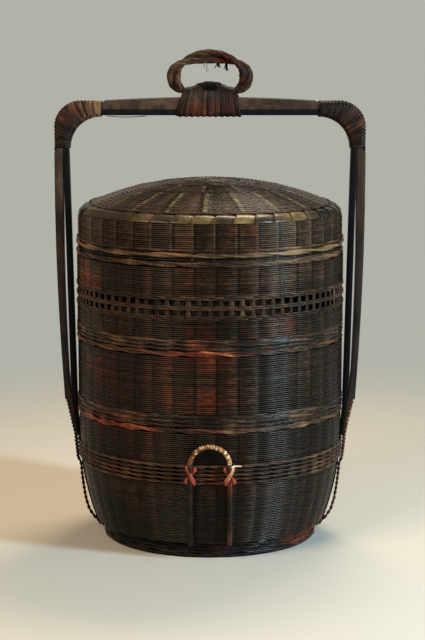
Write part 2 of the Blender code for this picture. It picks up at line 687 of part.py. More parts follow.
def add_handle_bows(body):
    outer = []
    for share in TONGUE_STATION_SHARES:
        z = mix(TONGUE_TIP, OUTER_SLAT_FOOT - FIT_GAP, share)
        outer.append(((tongue_face(z), z), (outer_slat_back(z), z)))
    for share in UPRIGHT_STATION_SHARES:
        z = mix(OUTER_SLAT_FOOT, KNEE_Z, share)
        outer.append(((upright_outside(z), z), (outer_slat_back(z), z)))
    for k in range(KNEE_STEPS + 1):
        turn = math.pi / 2 * k / KNEE_STEPS
        back = knee_point(
            turn, HANDLE_HALF_WIDTH - OUTER_SLAT, BAR_END_TOP - OUTER_SLAT, BOW_CORNER_RADIUS - OUTER_SLAT,
        )
        outer.append((outer_knee(turn, -CORNER_REBATE), back))
    for share in BAR_STATION_SHARES:
        x = KNEE_X * share
        outer.append(((x, BAR_END_TOP + BAR_CROWN * (1.0 - share**2)), (x, BAR_SPLIT + FIT_GAP)))
    add_slat("handle_outer_bow", outer + mirrored(outer), BOW_WIDTH, BROWN_SLAT, body)

    inner = []
    heights = [SLAT_FOOT_RISE, FOOT_HEIGHT] + belly_heights()[1:-1] + [RIM_UNDERSIDE, BOTTOM_TIER_HEIGHT]
    heights += [mix(OUTER_SLAT_FOOT, KNEE_Z, share) for share in UPRIGHT_STATION_SHARES]
    for z in heights:
        inner.append(((inner_slat_back(z), z), (inner_slat_face(z), z)))
    back_side = HANDLE_HALF_WIDTH - OUTER_SLAT - FIT_GAP
    for k in range(KNEE_STEPS + 1):
        turn = math.pi / 2 * k / KNEE_STEPS
        back = knee_point(turn, back_side, BAR_SPLIT, BOW_CORNER_RADIUS - OUTER_SLAT - FIT_GAP)
        inner.append((back, inner_knee(turn, 0.0)))
    inner.append(((0.0, BAR_SPLIT), (0.0, BAR_UNDERSIDE)))
    add_slat("handle_inner_bow", inner + mirrored(inner), BOW_WIDTH, BLACK_SLAT, body)


def add_corner_bindings(body):
    """Cane wound round both bows at each knee, in a rebate of the outer bow and fanned from the knee's centre."""
    offset = CORNER_CANE_RADIUS + BINDING_CLEARANCE
    y = BOW_WIDTH / 2 + offset
    for side, word in ((-1, "left"), (1, "right")):
        points = []
        for loop in range(CORNER_TURNS):
            for corner in range(4):
                turn = math.pi / 2 * (loop + corner / 4) / CORNER_TURNS
                x, z = outer_knee(turn, offset - CORNER_REBATE) if corner < 2 else inner_knee(turn, offset)
                points.append((side * x, y if corner in (1, 2) else -y, z))
        name = f"corner_binding_{word}"
        add_tube(name, points, CORNER_CANE_RADIUS, RED_CANE, body)
        print_least_gap(name, points, CORNER_CANE_RADIUS, 2 * (BOW_WIDTH + OUTER_SLAT + INNER_SLAT))


def ring_offset(turn):
    """Place of the carrying ring's centre line, from the bottom (0) round by the right to the top (pi)."""
    across, down = math.sin(turn), math.cos(turn)
    curve = RING_CURVE_BELOW if down > 0 else RING_CURVE_ABOVE
    x = RING_HALF_WIDTH * math.copysign(abs(across) ** (2 / curve), across)
    z = -RING_HALF_HEIGHT * math.copysign(abs(down) ** (2 / curve), down)
    return x, z


def ring_bottom(x):
    """Height of the ring's centre line below its middle, at a place along the bar."""
    share = clamp(1.0 - abs(x / RING_HALF_WIDTH) ** RING_CURVE_BELOW)
    return RING_CENTRE - RING_HALF_HEIGHT * share ** (1 / RING_CURVE_BELOW)


def add_carrying_ring(body):
    """One thick strand that runs round twice: side by side on the bar, laid round each other above it."""
    points = []
    for k in range(2 * RING_POINTS_PER_LAP):
        lap, place = divmod(k, RING_POINTS_PER_LAP)
        turn = 2 * math.pi * place / RING_POINTS_PER_LAP
        from_bottom = turn if turn <= math.pi else turn - 2 * math.pi
        free = max(0.0, abs(from_bottom) - RING_BOUND_ANGLE) / (math.pi - RING_BOUND_ANGLE)
        twist = RING_HALF_TWIST * free if from_bottom >= 0 else RING_HALF_TWIST * (2.0 - free)
        lay = math.pi / 2 + twist + math.pi * lap
        x, z = ring_offset(turn)
        normal = Vector((x / RING_HALF_WIDTH**2, 0.0, z / RING_HALF_HEIGHT**2)).normalized()
        centre = Vector((x, 0.0, RING_CENTRE + z))
        shift = normal * math.cos(lay) + Vector((0.0, 1.0, 0.0)) * math.sin(lay)
        points.append(centre + shift * RING_LAY_RADIUS)
    add_tube("carrying_ring", points, RING_STRAND_RADIUS, DARK_RATTAN, body, resolution=2, cyclic=True)
    lap_length = math.pi * (RING_HALF_WIDTH + RING_HALF_HEIGHT)
    print_least_gap("carrying_ring", points, RING_STRAND_RADIUS, lap_length)


def saddle_underside(x):
    return ring_bottom(x) + RING_STRAND_RADIUS + FIT_GAP


def saddle_top(x):
    share = clamp(1.0 - (x / SADDLE_HALF_LENGTH) ** 2)
    flat = mix(saddle_underside(SADDLE_HALF_LENGTH), saddle_underside(0.0), share)
    return flat + SADDLE_EDGE + SADDLE_RISE * share


def add_saddle(body):
    stations = []
    for share in SADDLE_STATION_SHARES:
        x = SADDLE_HALF_LENGTH * share
        stations.append(((x, saddle_top(x)), (x, saddle_underside(x))))
    add_slat("ring_saddle", stations, 2 * SADDLE_HALF_WIDTH, BLACK_SLAT, body)


def add_ring_binding(body):
    """Cane wound round the bar, the ring's two strands and the saddle, in a fan that narrows upwards."""
    offset = RING_CANE_RADIUS + BINDING_CLEARANCE
    side = BOW_WIDTH / 2 + offset
    strands = RING_LAY_RADIUS + RING_STRAND_RADIUS
    points = []
    for loop in range(RING_BINDING_TURNS):
        for corner in range(6):
            share = 2 * (loop + corner / 6) / RING_BINDING_TURNS - 1.0
            if corner in (0, 5):
                x = share * RING_BINDING_FOOT_HALF_WIDTH
                place = (side, BAR_UNDERSIDE - offset)
            elif corner in (1, 4):
                x = share * mix(RING_BINDING_FOOT_HALF_WIDTH, RING_BINDING_TOP_HALF_WIDTH, 0.5)
                place = (side, BAR_TOP + RING_BINDING_SHOULDER)
            else:
                x = share * RING_BINDING_TOP_HALF_WIDTH
                crest = ring_bottom(x) + RING_STRAND_RADIUS
                if abs(x) < SADDLE_HALF_LENGTH + 2 * offset:
                    crest = max(crest, saddle_top(x))
                place = (min(strands, SADDLE_HALF_WIDTH + offset), crest + offset)
            front = corner in (0, 1, 2)
            points.append((x, -place[0] if front else place[0], place[1]))
    add_tube("ring_binding", points, RING_CANE_RADIUS, RED_CANE, body)
    print_least_gap("ring_binding", points, RING_CANE_RADIUS, 4 * BOW_WIDTH)


def add_side_ribs(body):
    """Cane-wrapped rib at each side: on the outer bow's tongue, over the twined band and down to the foot."""
    seat = RIB_RADIUS + FIT_GAP
    over_slat = SLAT_FOOT_THICKNESS + 2 * FIT_GAP + BAND_DEPTH
    path = []
    for share in RIB_TONGUE_SHARES:
        z = mix(TONGUE_TIP, OUTER_SLAT_FOOT - 3 * FIT_GAP, share)
        path.append((tongue_face(z) + seat, z))
    for z in (BAND_TOP, BAND_BOTTOM_HEIGHT):
        path.append((belly_radius(z) * FACET + FIT_GAP + over_slat + seat, z))
    path.append((path[-1][0], BAND_BOTTOM_HEIGHT - seat))
    for height_share, standoff_share in zip(RIB_HEIGHT_SHARES, RIB_STANDOFF_SHARES):
        z = mix(SLAT_FOOT_RISE, BAND_BOTTOM_HEIGHT, height_share)
        path.append((inner_slat_back(z) + seat + RIB_STANDOFF * standoff_share, z))
    for side, word in ((-1, "left"), (1, "right")):
        points = [(side * x, 0.0, z) for x, z in path]
        add_tube(f"side_rib_{word}", points, RIB_RADIUS, TAN_CANE, body)


def leg_depth(height):
    """Distance of a loop leg's centre line from the basket's axis plane, with room for its lashing."""
    if height >= BAND_BOTTOM_HEIGHT - LOOP_LEG_RADIUS:
        surface = belly_radius(height) + FIT_GAP + BAND_DEPTH
        reach = LASHING_REACH + LASHING_CANE_RADIUS
    else:
        surface = belly_radius(height)
        reach = LOOP_LEG_RADIUS
    return math.sqrt(surface**2 - LOOP_HALF_WIDTH**2) + FIT_GAP + reach


def add_loop(word, side, body):
    spring = BAND_TOP + LOOP_SPRING_RISE
    right = []
    for share in WALL_STATION_SHARES[:-1]:
        z = mix(FOOT_HEIGHT, BAND_BOTTOM_HEIGHT, share)
        right.append((LOOP_HALF_WIDTH, leg_depth(z), z, LOOP_LEG_RADIUS))
    for z in (BAND_BOTTOM_HEIGHT - LOOP_LEG_RADIUS, BAND_TOP):
        right.append((LOOP_HALF_WIDTH, leg_depth(z), z, LOOP_LEG_RADIUS))
    arch = []
    for k in range(LOOP_STEPS + 1):
        turn = math.pi * k / LOOP_STEPS
        rise = math.sin(turn)
        depth = leg_depth(BAND_TOP) + LOOP_LEAN * rise
        arch.append((LOOP_HALF_WIDTH * math.cos(turn), depth, spring + LOOP_RISE * rise, LOOP_ARCH_RADIUS))
    left = [(-x, y, z, radius) for x, y, z, radius in reversed(right)]
    path = right + arch + left
    points = [(x, side * y, z) for x, y, z, radius in path]
    radii = [entry[3] for entry in path]
    add_tube(f"{word}_loop", points, LOOP_LEG_RADIUS, TAN_CANE, body, resolution=2, radii=radii)


def add_lashings(word, side, body):
    """Cane wound slantwise round each leg of a loop, between the leg and the twined band."""
    reach = LASHING_REACH
    count = int(LASHING_TURNS * LASHING_POINTS_PER_TURN)
    low = BAND_BOTTOM_HEIGHT + LASHING_CANE_RADIUS
    high = BAND_TOP - LASHING_CANE_RADIUS
    for hand, hand_word in ((-1, "left"), (1, "right")):
        points = []
        for k in range(count + 1):
            z = mix(low, high, k / count)
            turn = 2 * math.pi * k / LASHING_POINTS_PER_TURN
            x = hand * (LOOP_HALF_WIDTH + reach * math.sin(turn))
            points.append((x, side * (leg_depth(z) + reach * math.cos(turn)), z))
        name = f"{word}_lashing_{hand_word}"
        add_tube(name, points, LASHING_CANE_RADIUS, RED_CANE, body)
        print_least_gap(name, points, LASHING_CANE_RADIUS, 2 * math.pi * reach)


def main():
    clear_scene()
    cradle = add_body("cradle", 0.0)
    middle = add_body("middle_tier", MIDDLE_BASE, cradle)
    upper = add_body("upper_tier", UPPER_BASE, middle)
    lid = add_body("lid", LID_BASE, upper)
    add_bottom_tier(cradle)
    add_middle_tier(middle)
    add_upper_tier(upper)
    add_lid(lid)
    add_handle_bows(cradle)
    add_corner_bindings(cradle)
    add_carrying_ring(cradle)
    add_saddle(cradle)
    add_ring_binding(cradle)
    add_side_ribs(cradle)
    for word, side in (("front", -1), ("back", 1)):
        add_loop(word, side, cradle)
        add_lashings(word, side, cradle)


main()
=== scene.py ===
"""Tiered bamboo food basket: woven walls, twisted ropes and wound cane, fitted round the packed solids.

Every woven, twisted or wound solid is replaced by its canes. The bent bamboo slats are copies of their
solids with rounded edges.
"""

import random
from math import atan2, copysign, cos, dist, exp, pi, radians, sin, sqrt, tau

import bmesh
import bpy
from bpy.props import FloatProperty, FloatVectorProperty, IntProperty, PointerProperty
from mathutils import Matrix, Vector


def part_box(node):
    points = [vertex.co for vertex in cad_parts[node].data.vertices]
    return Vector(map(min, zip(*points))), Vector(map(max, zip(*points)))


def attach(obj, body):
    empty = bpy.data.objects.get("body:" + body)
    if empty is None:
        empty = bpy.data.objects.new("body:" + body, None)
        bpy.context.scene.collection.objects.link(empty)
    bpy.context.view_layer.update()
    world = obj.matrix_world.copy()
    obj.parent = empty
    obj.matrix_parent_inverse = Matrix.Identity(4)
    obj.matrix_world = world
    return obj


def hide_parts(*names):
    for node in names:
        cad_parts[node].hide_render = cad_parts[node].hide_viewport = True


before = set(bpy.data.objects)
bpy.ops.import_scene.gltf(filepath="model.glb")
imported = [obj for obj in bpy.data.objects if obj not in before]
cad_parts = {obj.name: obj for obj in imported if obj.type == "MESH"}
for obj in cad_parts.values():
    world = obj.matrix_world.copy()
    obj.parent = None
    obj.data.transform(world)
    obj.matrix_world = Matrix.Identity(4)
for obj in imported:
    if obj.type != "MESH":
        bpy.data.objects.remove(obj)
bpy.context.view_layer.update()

bl_info = {
    "name": "Tiered Bamboo Food Basket",
    "version": (1, 0, 0),
    "blender": (4, 5, 0),
    "location": "View3D > Sidebar > Basket",
    "description": "Builds the woven tiers, ropes, handle and windings of a bamboo food basket",
    "category": "Object",
}

MM = 0.001
FLATS = 40
FACET = cos(pi / FLATS)
WELD = 0.02 * MM
X_AXIS, Y_AXIS, Z_AXIS = Vector((1.0, 0.0, 0.0)), Vector((0.0, 1.0, 0.0)), Vector((0.0, 0.0, 1.0))
SIDES = ((-1, "left"), (1, "right"))


def linear(code):
    """Linear RGB of an sRGB hex colour."""
    parts = [int(code[k:k + 2], 16) / 255 for k in (1, 3, 5)]
    return tuple(p / 12.92 if p <= 0.04045 else ((p + 0.055) / 1.055) ** 2.4 for p in parts)


def clamp(value, low=0.0, high=1.0):
    return max(low, min(high, value))


def mix(start, end, share):
    return start + (end - start) * share


# Places taken from the packed solids

def solid_radius(node):
    """Radius of a turned solid, whose flats face along X and Y."""
    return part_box(node)[1].x / FACET


def heights(node):
    low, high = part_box(node)
    return low.z, high.z


TIER_TOP = heights("bottom_tier_rim_cord")[1]
FOOT_TOP = heights("foot_hoop")[1]
BAND_LOW, BAND_HIGH = heights("waling_band")
NEST = solid_radius("middle_tier_floor")
CORD_RADIUS = solid_radius("middle_tier_rim_cord")
BOTTOM_RADIUS = solid_radius("bottom_tier_wall")
MIDDLE_RADIUS = solid_radius("middle_tier_wall")
UPPER_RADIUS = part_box("upper_tier_wall")[1].x
LID_RADIUS = solid_radius("lid_skirt")
LID_BASE, LEDGE_HEIGHT = heights("lid_skirt")
LID_APEX = heights("lid_crown")[1]
LEDGE_RADIUS = solid_radius("lid_crown")
BAR_LOW = heights("handle_inner_bow")[1] - 8 * MM
HANDLE_HALF_WIDTH, BOW_HALF_WIDTH, BAR_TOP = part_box("handle_outer_bow")[1]

# Forms shared with the solids
BELLY_DRAW_IN = 35.3 * MM
BELLY_CURVE = 2.4
LID_WALL_HEIGHT = 42 * MM
TILE_FOOT = LID_BASE + 52.5 * MM
DOME_RISE = 33 * MM
DOME_CURVE = 2.2
WINDOW_HALF_HEIGHT = 12.8 * MM
KNEE_X = 156.2 * MM
KNEE_Z = BAR_LOW - 48 * MM
KNEE_RADIUS = 48 * MM
BOW_CORNER_RADIUS = 36 * MM
BAR_END_DROP = 5 * MM
CORNER_REBATE = 2.5 * MM
RING_HALF_WIDTH = 52 * MM
RING_HALF_HEIGHT = 26.7 * MM
RING_STRAND_RADIUS = 4.8 * MM
RING_LAY_RADIUS = 5.8 * MM
RING_CENTRE = BAR_TOP + 0.3 * MM + RING_STRAND_RADIUS + RING_HALF_HEIGHT
RING_BOUND_ANGLE = radians(38)
RING_HALF_TWIST = 1.5 * pi
RING_CURVE_BELOW, RING_CURVE_ABOVE = 2.8, 2.0

# Fan of cane that ties the ring down: its half span and the cane's half width at the bar's foot, at the
# bar's top and over the ring
FAN_FOOT, FAN_BAR, FAN_CREST = (47 * MM, 2.5 * MM), (40.5 * MM, 2.3 * MM), (34 * MM, 2.1 * MM)

# A wall swells out in columns, each over a pair of stakes, and the lid has as many ridges and tiles
COLUMNS = 40
WALL_INSET = 0.2 * MM
LINING_RADIUS = NEST + 1.4 * MM

# Rings of ribs on the dome: half the count, and the radius outside which they lie
OUTER_HALF_RIBS, INNER_HALF_RIBS = 10, 6
DOME_CORD_RADII = (106 * MM, 72 * MM, 42 * MM)

# Turn of the lid's ridges, the walls' columns and the dome's ribs from the sides' axis
LID_TURN = radians(1.8)
COLUMN_TURN = radians(-1.5)
RIB_TURN = radians(-2.3)
INNER_RIB_TURN = 2.5 * RIB_TURN

# Middle of the reddest lacquer, at the left of the middle tier's front
RED_STAIN = (-0.06, -0.18, 0.25)
STAIN_REACH = 0.17

# Amber that the brown film of old lacquer gives to what it reflects
LACQUER_FILM = (1.0, 0.83, 0.64)


def length_prop(name, description, default):
    return FloatProperty(name=name, description=description, default=default, unit="LENGTH")


def count_prop(name, description, default, low, high):
    return IntProperty(name=name, description=description, default=default, min=low, max=high)


def colour_prop(name, description, code):
    return FloatVectorProperty(name=name, description=description, default=linear(code), subtype="COLOR")


class BasketWeave(bpy.types.PropertyGroup):
    """Woven walls, lid and floors."""

    row_pitch: length_prop("Row pitch", "Height of one row of weavers", 2.85 * MM)
    weaver_thickness: length_prop("Weaver thickness", "Thickness of a weaver", 1.7 * MM)
    stakes: count_prop("Stakes", "Number of upright stakes in a tier", 80, 40, 120)
    swell: length_prop("Swell", "How far the weavers stand out over every pair of stakes", 0.55 * MM)
    dark: colour_prop("Dark lacquer", "Colour of the blackened weave", "#20130a")
    brown: colour_prop("Brown lacquer", "Colour of the weave where the lacquer is thinner", "#4a3220")
    worn: colour_prop("Worn weave", "Colour of the weave where the lacquer is rubbed through", "#7d6341")


class BasketRopes(bpy.types.PropertyGroup):
    """Twisted ropes at the rims and bases, twined rows and the foot."""

    cane_radius: length_prop("Cane radius", "Radius of one cane in a rim rope", 1.25 * MM)
    red: colour_prop("Red lacquer", "Colour of the red lacquered canes", "#8a351c")
    brown: colour_prop("Brown lacquer", "Colour of the darker canes", "#2f1d12")


class BasketHandle(bpy.types.PropertyGroup):
    """Bent bamboo bows, carrying ring and the cane wound round them."""

    edge_radius: length_prop("Edge radius", "Rounding of the slats' edges", 1.2 * MM)
    corner_turns: count_prop("Corner turns", "Turns of cane round each corner", 24, 18, 30)
    ring_turns: count_prop("Ring turns", "Turns of cane that tie the ring down", 22, 18, 30)
    bow: colour_prop("Brown bamboo", "Colour of the outer bow", "#33241a")
    inner: colour_prop("Black bamboo", "Colour of the inner bow", "#0d0908")


class BasketLoops(bpy.types.PropertyGroup):
    """Front and back loops."""

    wrap_width: length_prop("Wrap width", "Width of the pale cane wrapped round the arch", 2.6 * MM)
    pale: colour_prop("Pale cane", "Colour of the bare worn cane", "#c9a571")


class BasketStage(bpy.types.PropertyGroup):
    """Camera, lamps, floor and backdrop."""

    distance: length_prop("Camera distance", "Distance in front of the basket's axis", 2.9)
    camera_height: length_prop("Camera height", "Height of the camera above the floor", 0.776)
    tilt: FloatProperty(
        name="Tilt", description="Angle at which the camera looks down", default=radians(9.0),
        subtype="ANGLE",
    )
    lens: FloatProperty(
        name="Lens", description="Focal length on a 36 mm sensor's long side", default=112.5, unit="CAMERA",
    )
    floor: colour_prop("Floor", "Colour of the floor", "#cbbda6")
    backdrop: colour_prop("Backdrop", "Colour behind the basket", "#b1b3aa")


GROUPS = {
    "basket_weave": BasketWeave,
    "basket_ropes": BasketRopes,
    "basket_handle": BasketHandle,
    "basket_loops": BasketLoops,
    "basket_stage": BasketStage,
}


# Canes

def new_mesh():
    """An empty bmesh with a UV map in metres along each cane and a tone for each point."""
    bm = bmesh.new()
    bm.loops.layers.uv.new("UVMap")
    bm.verts.layers.float.new("tone")
    return bm


def layers(bm):
    """The layers of its UV map and its tones."""
    return bm.loops.layers.uv["UVMap"], bm.verts.layers.float["tone"]


def add_grid_cane(bm, steps, sides, place, tone, length, closed=True):
    """A closed or capped tube, bent from a flat grid. place(u, v) is a point, u along it and v round it."""
    uv_layer, tone_layer = layers(bm)
    made = bmesh.ops.create_grid(bm, x_segments=steps, y_segments=sides, size=1.0, calc_uvs=True)["verts"]
    # A cane of another tone starts elsewhere in the pattern of fibres
    offset = tone(0.0) * 7.0
    for vert in made:
        for loop in vert.link_loops:
            u, v = loop[uv_layer].uv
            loop[uv_layer].uv = (u * length, v + offset)
    edge = [vert for vert in made if vert.is_boundary]
    for vert in made:
        u, v = (vert.co.x + 1) / 2, (vert.co.y + 1) / 2
        vert[tone_layer] = tone(u)
        vert.co = place(u, v)
    bmesh.ops.remove_doubles(bm, verts=edge, dist=WELD)
    if not closed:
        ends = dict.fromkeys(e for v in edge if v.is_valid for e in v.link_edges if e.is_boundary)
        bmesh.ops.holes_fill(bm, edges=list(ends), sides=sides)


def per_point(value, count):
    """A list with a value for each point, from such a list or from one value for them all."""
    return value if isinstance(value, (list, tuple)) else [value] * count


def add_ring_cane(bm, station, half_width, half_depth, shift, steps, tone, sides=6):
    """A cane round the basket's axis. shift(angle) moves its middle outwards and up along the surface."""
    radius, height, out_r, out_z = station

    def place(u, v):
        angle = tau * u
        out, along = shift(angle)
        out += half_depth * cos(tau * v)
        along += half_width * sin(tau * v)
        r = radius + out * out_r - along * out_z
        return Vector((r * cos(angle), r * sin(angle), height + out * out_z + along * out_r))

    tones = per_point(tone, steps + 1)
    add_grid_cane(bm, steps, sides, place, lambda u: tones[int(round(u * steps))], tau * radius)


def tangents(points, closed=False):
    last = len(points) - 1
    found = []
    for k in range(len(points)):
        if closed:
            step = points[(k + 1) % len(points)] - points[k - 1]
        else:
            step = points[min(k + 1, last)] - points[max(k - 1, 0)]
        found.append(step.normalized())
    return found


def add_path_cane(bm, points, outs, half_width, half_depth, tone, sides=6, closed=False):
    """A flat or round cane along points, whose flat side faces outs.

    outs, the sizes and the tone are each one value, or a list with a value for each point.
    """
    count = len(points)
    outs, widths, depths, tones = (per_point(value, count) for value in (outs, half_width, half_depth, tone))
    sections = []
    length = 0.0
    for k, along in enumerate(tangents(points, closed)):
        out = (outs[k] - along * outs[k].dot(along)).normalized()
        sections.append((points[k], out, along.cross(out)))
        length += (points[k] - points[k - 1]).length if k else 0.0
    steps = count if closed else count - 1

    def index(u):
        return int(round(u * steps)) % count

    def place(u, v):
        k = index(u)
        middle, out, side = sections[k]
        return middle + side * (widths[k] * cos(tau * v)) + out * (depths[k] * sin(tau * v))

    add_grid_cane(bm, steps, sides, place, lambda u: tones[index(u)], length, closed)


def wound(points, reference, radius, twists, phase=0.0, closed=False, finer=1):
    """Points and outward directions of a cane wound round a path, with its twists spread evenly along it."""
    line = refined(points, finer, closed)
    steps = len(line) if closed else len(line) - 1
    winding, outs = [], []
    for k, along in enumerate(tangents(line, closed)):
        first = (reference - along * reference.dot(along)).normalized()
        second = along.cross(first)
        turn = tau * twists * k / steps + phase
        out = first * cos(turn) + second * sin(turn)
        winding.append(line[k] + out * radius)
        outs.append(out)
    return winding, outs


def refined(points, finer, closed):
    """The same path with finer times as many steps."""
    if finer == 1:
        return points
    line = []
    for start, end in zip(points, points[1:] + (points[:1] if closed else [])):
        line += [start.lerp(end, part / finer) for part in range(finer)]
    return line if closed else line + [points[-1]]


def rounded(points, reach):
    """The same open path with its corners cut, reach away from each."""
    line = [points[0]]
    for before, corner, after in zip(points, points[1:], points[2:]):
        for other in (before, after):
            way = other - corner
            line.append(corner + way.normalized() * min(reach, way.length / 3))
    return line + [points[-1]]


def add_winding(bm, corners, half_thickness):
    """A flat cane wound round a bar.

    Each corner is a place, the bar's middle and direction there, a half width and a tone.
    """
    # Each corner is cut twice, so that the cane bends round it in three steps
    points = rounded(rounded([corner[0] for corner in corners], 4.0 * MM), 1.4 * MM)
    picked = [corners[round(k * (len(corners) - 1) / (len(points) - 1))] for k in range(len(points))]
    outs = []
    for point, along, (_, middle, direction, _, _) in zip(points, tangents(points), picked):
        out = along.cross(direction)
        outs.append(out if out.dot(point - middle) > 0 else -out)
    add_path_cane(
        bm, points, outs, [corner[3] for corner in picked], half_thickness, [corner[4] for corner in picked],
        sides=8,
    )


# Outlines, as pairs of radius and height from the bottom up

def belly_radius(height):
    share = clamp(1.0 - height / TIER_TOP)
    return BOTTOM_RADIUS - BELLY_DRAW_IN * share**BELLY_CURVE


def belly_outline(low, high, inset, count=24):
    span = [mix(low, high, k / count) for k in range(count + 1)]
    return [(belly_radius(z) - inset, z) for z in span]


def straight_outline(radius, low, high):
    return [(radius, low), (radius, high)]


def dome_height(radius):
    return LID_APEX - DOME_RISE * (radius / LEDGE_RADIUS) ** DOME_CURVE


def shoulder_outline(inset=0.0, count=16):
    start = LID_BASE + LID_WALL_HEIGHT
    width = LID_RADIUS - LEDGE_RADIUS - inset
    rise = LEDGE_HEIGHT - LID_BASE - LID_WALL_HEIGHT - inset
    turns = [pi / 2 * k / count for k in range(count + 1)]
    return [(LEDGE_RADIUS + width * cos(t), start + rise * sin(t)) for t in turns]


def dome_outline(outer, inner, inset=0.0, count=30):
    radii = [mix(outer, inner, k / count) for k in range(count + 1)]
    return [(r, dome_height(r) - inset) for r in radii]


def outline_length(outline):
    return sum(dist(start, end) for start, end in zip(outline, outline[1:]))


# Stations: a radius and height, and the outward direction there

def level(radius, height):
    """A station that faces straight out."""
    return radius, height, 1.0, 0.0


def station_at(outline, goal):
    """The station at a distance along an outline."""
    walked = 0.0
    for start, end in zip(outline, outline[1:]):
        length = dist(start, end)
        if walked + length >= goal - 1e-9 or end == outline[-1]:
            share = (goal - walked) / length
            rise = ((end[0] - start[0]) / length, (end[1] - start[1]) / length)
            return mix(start[0], end[0], share), mix(start[1], end[1], share), rise[1], -rise[0]
        walked += length


def spaced(outline, pitch):
    """Stations pitch apart along an outline."""
    total = outline_length(outline)
    count = max(1, round(total / pitch))
    return [station_at(outline, total * (k + 0.5) / count) for k in range(count)]


# Pieces

def finish_piece(name, bm, body, finish, slot, *replaced, sharp_angle=None):
    """Turns a bmesh into a piece that rides on its body, has a finish and stands for its solids."""
    bmesh.ops.recalc_face_normals(bm, faces=bm.faces)
    mesh = bpy.data.meshes.new(name)
    bm.to_mesh(mesh)
    bm.free()
    mesh.shade_smooth()
    if sharp_angle:
        mesh.set_sharp_from_angle(angle=sharp_angle)
    piece = bpy.data.objects.new(name, mesh)
    bpy.context.scene.collection.objects.link(piece)
    mesh.materials.append(finish_named(finish))
    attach(piece, body)
    if replaced:
        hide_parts(*replaced)


def bow_length(point):
    """Distance along the handle from the floor up an upright, round the knee and along the bar."""
    reach = abs(point.x) - KNEE_X
    bend = KNEE_RADIUS + 10 * MM
    if point.z < KNEE_Z:
        return point.z
    if reach > 0:
        return KNEE_Z + atan2(point.z - KNEE_Z, reach) * bend
    return KNEE_Z + pi / 2 * bend - reach


def rounded_copy(name, node, body, finish, slot, width):
    """A copy of a solid with its triangles merged and its sharp edges rounded."""
    bm = new_mesh()
    bm.from_mesh(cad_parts[node].data)
    bmesh.ops.remove_doubles(bm, verts=bm.verts, dist=WELD)
    bmesh.ops.join_triangles(
        bm, faces=bm.faces, angle_face_threshold=radians(1.0), angle_shape_threshold=radians(60.0),
    )
    sharp = [e for e in bm.edges if e.is_manifold and e.calc_face_angle() > radians(40)]
    bmesh.ops.bevel(
        bm, geom=sharp, offset=width, offset_type="OFFSET", segments=2, profile=0.5, affect="EDGES",
        material=-1, clamp_overlap=True,
    )
    uv_layer, tone_layer = layers(bm)
    for vert in bm.verts:
        vert[tone_layer] = 0.5
        for loop in vert.link_loops:
            loop[uv_layer].uv = (bow_length(vert.co), vert.co.y + vert.co.x * 0.1)
    finish_piece(name, bm, body, finish, slot, node, sharp_angle=radians(30))


def weave_rows(bm, stations, weave, rng, steps=240, swell=None, ridge=1, turned=COLUMN_TURN, painted_shade=None):
    """Rows of weavers that swell out in columns. A ridge above 1 narrows the swelling.

    turned is the turn of the columns, and the last argument tells, for an angle and a height, where the rows
    are painted black as painted shade.
    """
    swell = weave.swell if swell is None else swell
    half_depth = weave.weaver_thickness / 2
    inset = half_depth + swell * 0.6
    ripple = 0.12 * MM
    pitch = dist(stations[0][:2], stations[1][:2])
    for row, station in enumerate(stations):
        parity = 1 if row % 2 else -1
        lift = rng.uniform(-0.1, 0.1) * MM
        slow = rng.uniform(0, tau)

        def shift(angle):
            if ridge > 1:
                crest = 2 * max(0.0, cos(COLUMNS * (angle - turned))) ** ridge - 1
            else:
                crest = 2 * abs(cos(COLUMNS / 2 * (angle - turned))) ** 0.7 - 1
            out = swell * crest + ripple * parity * sin(COLUMNS * angle)
            return out - inset, lift + ripple * sin(3 * angle + slow)

        tone = rng.random()
        if painted_shade:
            tone = [-2.0 if painted_shade(tau * k / steps, station[1]) else tone for k in range(steps + 1)]
        # A row fills 92% of its pitch, and the rest is the groove to the next
        add_ring_cane(bm, station, pitch * 0.46, half_depth, shift, steps, tone)


def add_rope(bm, station, half_depth, half_height, strands, canes, cane_radius, twists, rng,
             outward=lambda angle: 0.0, steps=480, dimmed=0.0):
    """A rope round the basket: strands laid round its middle, each of a few canes that turn with it.

    outward(angle) moves it off the surface, and dimmed darkens its tones.
    """
    # Canes of a strand lie round its middle, so close that they press into each other
    spread = cane_radius * 0.95 if canes > 1 else 0.0
    lay_out = half_depth - cane_radius - spread
    lay_up = half_height - cane_radius - spread
    start = rng.uniform(0, tau)
    for strand in range(strands):
        base = tau * strand / strands + start
        strand_tone = rng.random()
        for cane in range(canes):
            own = tau * cane / canes

            def shift(angle):
                lay = base - twists * angle
                fine = own - (twists + 2) * angle
                out = lay_out * cos(lay) + spread * cos(fine) + outward(angle)
                return out, lay_up * sin(lay) + spread * sin(fine)

            tone = clamp(strand_tone * 0.6 + rng.random() * 0.4) - dimmed
            add_ring_cane(bm, station, cane_radius, cane_radius, shift, steps, tone)


def spin_copies(bm, count, seed):
    """Repeats a mesh evenly round the axis, each copy with a tone of its own."""
    size = len(bm.verts)
    bmesh.ops.spin(
        bm, geom=bm.verts[:] + bm.edges[:] + bm.faces[:], cent=(0.0, 0.0, 0.0), axis=Z_AXIS,
        angle=tau * (count - 1) / count, steps=count - 1, use_duplicate=True,
    )
    tone_layer = layers(bm)[1]
    rng = random.Random(seed)
    tones = [rng.random() for _ in range(count)]
    for index, vert in enumerate(bm.verts):
        vert[tone_layer] = tones[min(count - 1, index // size)]


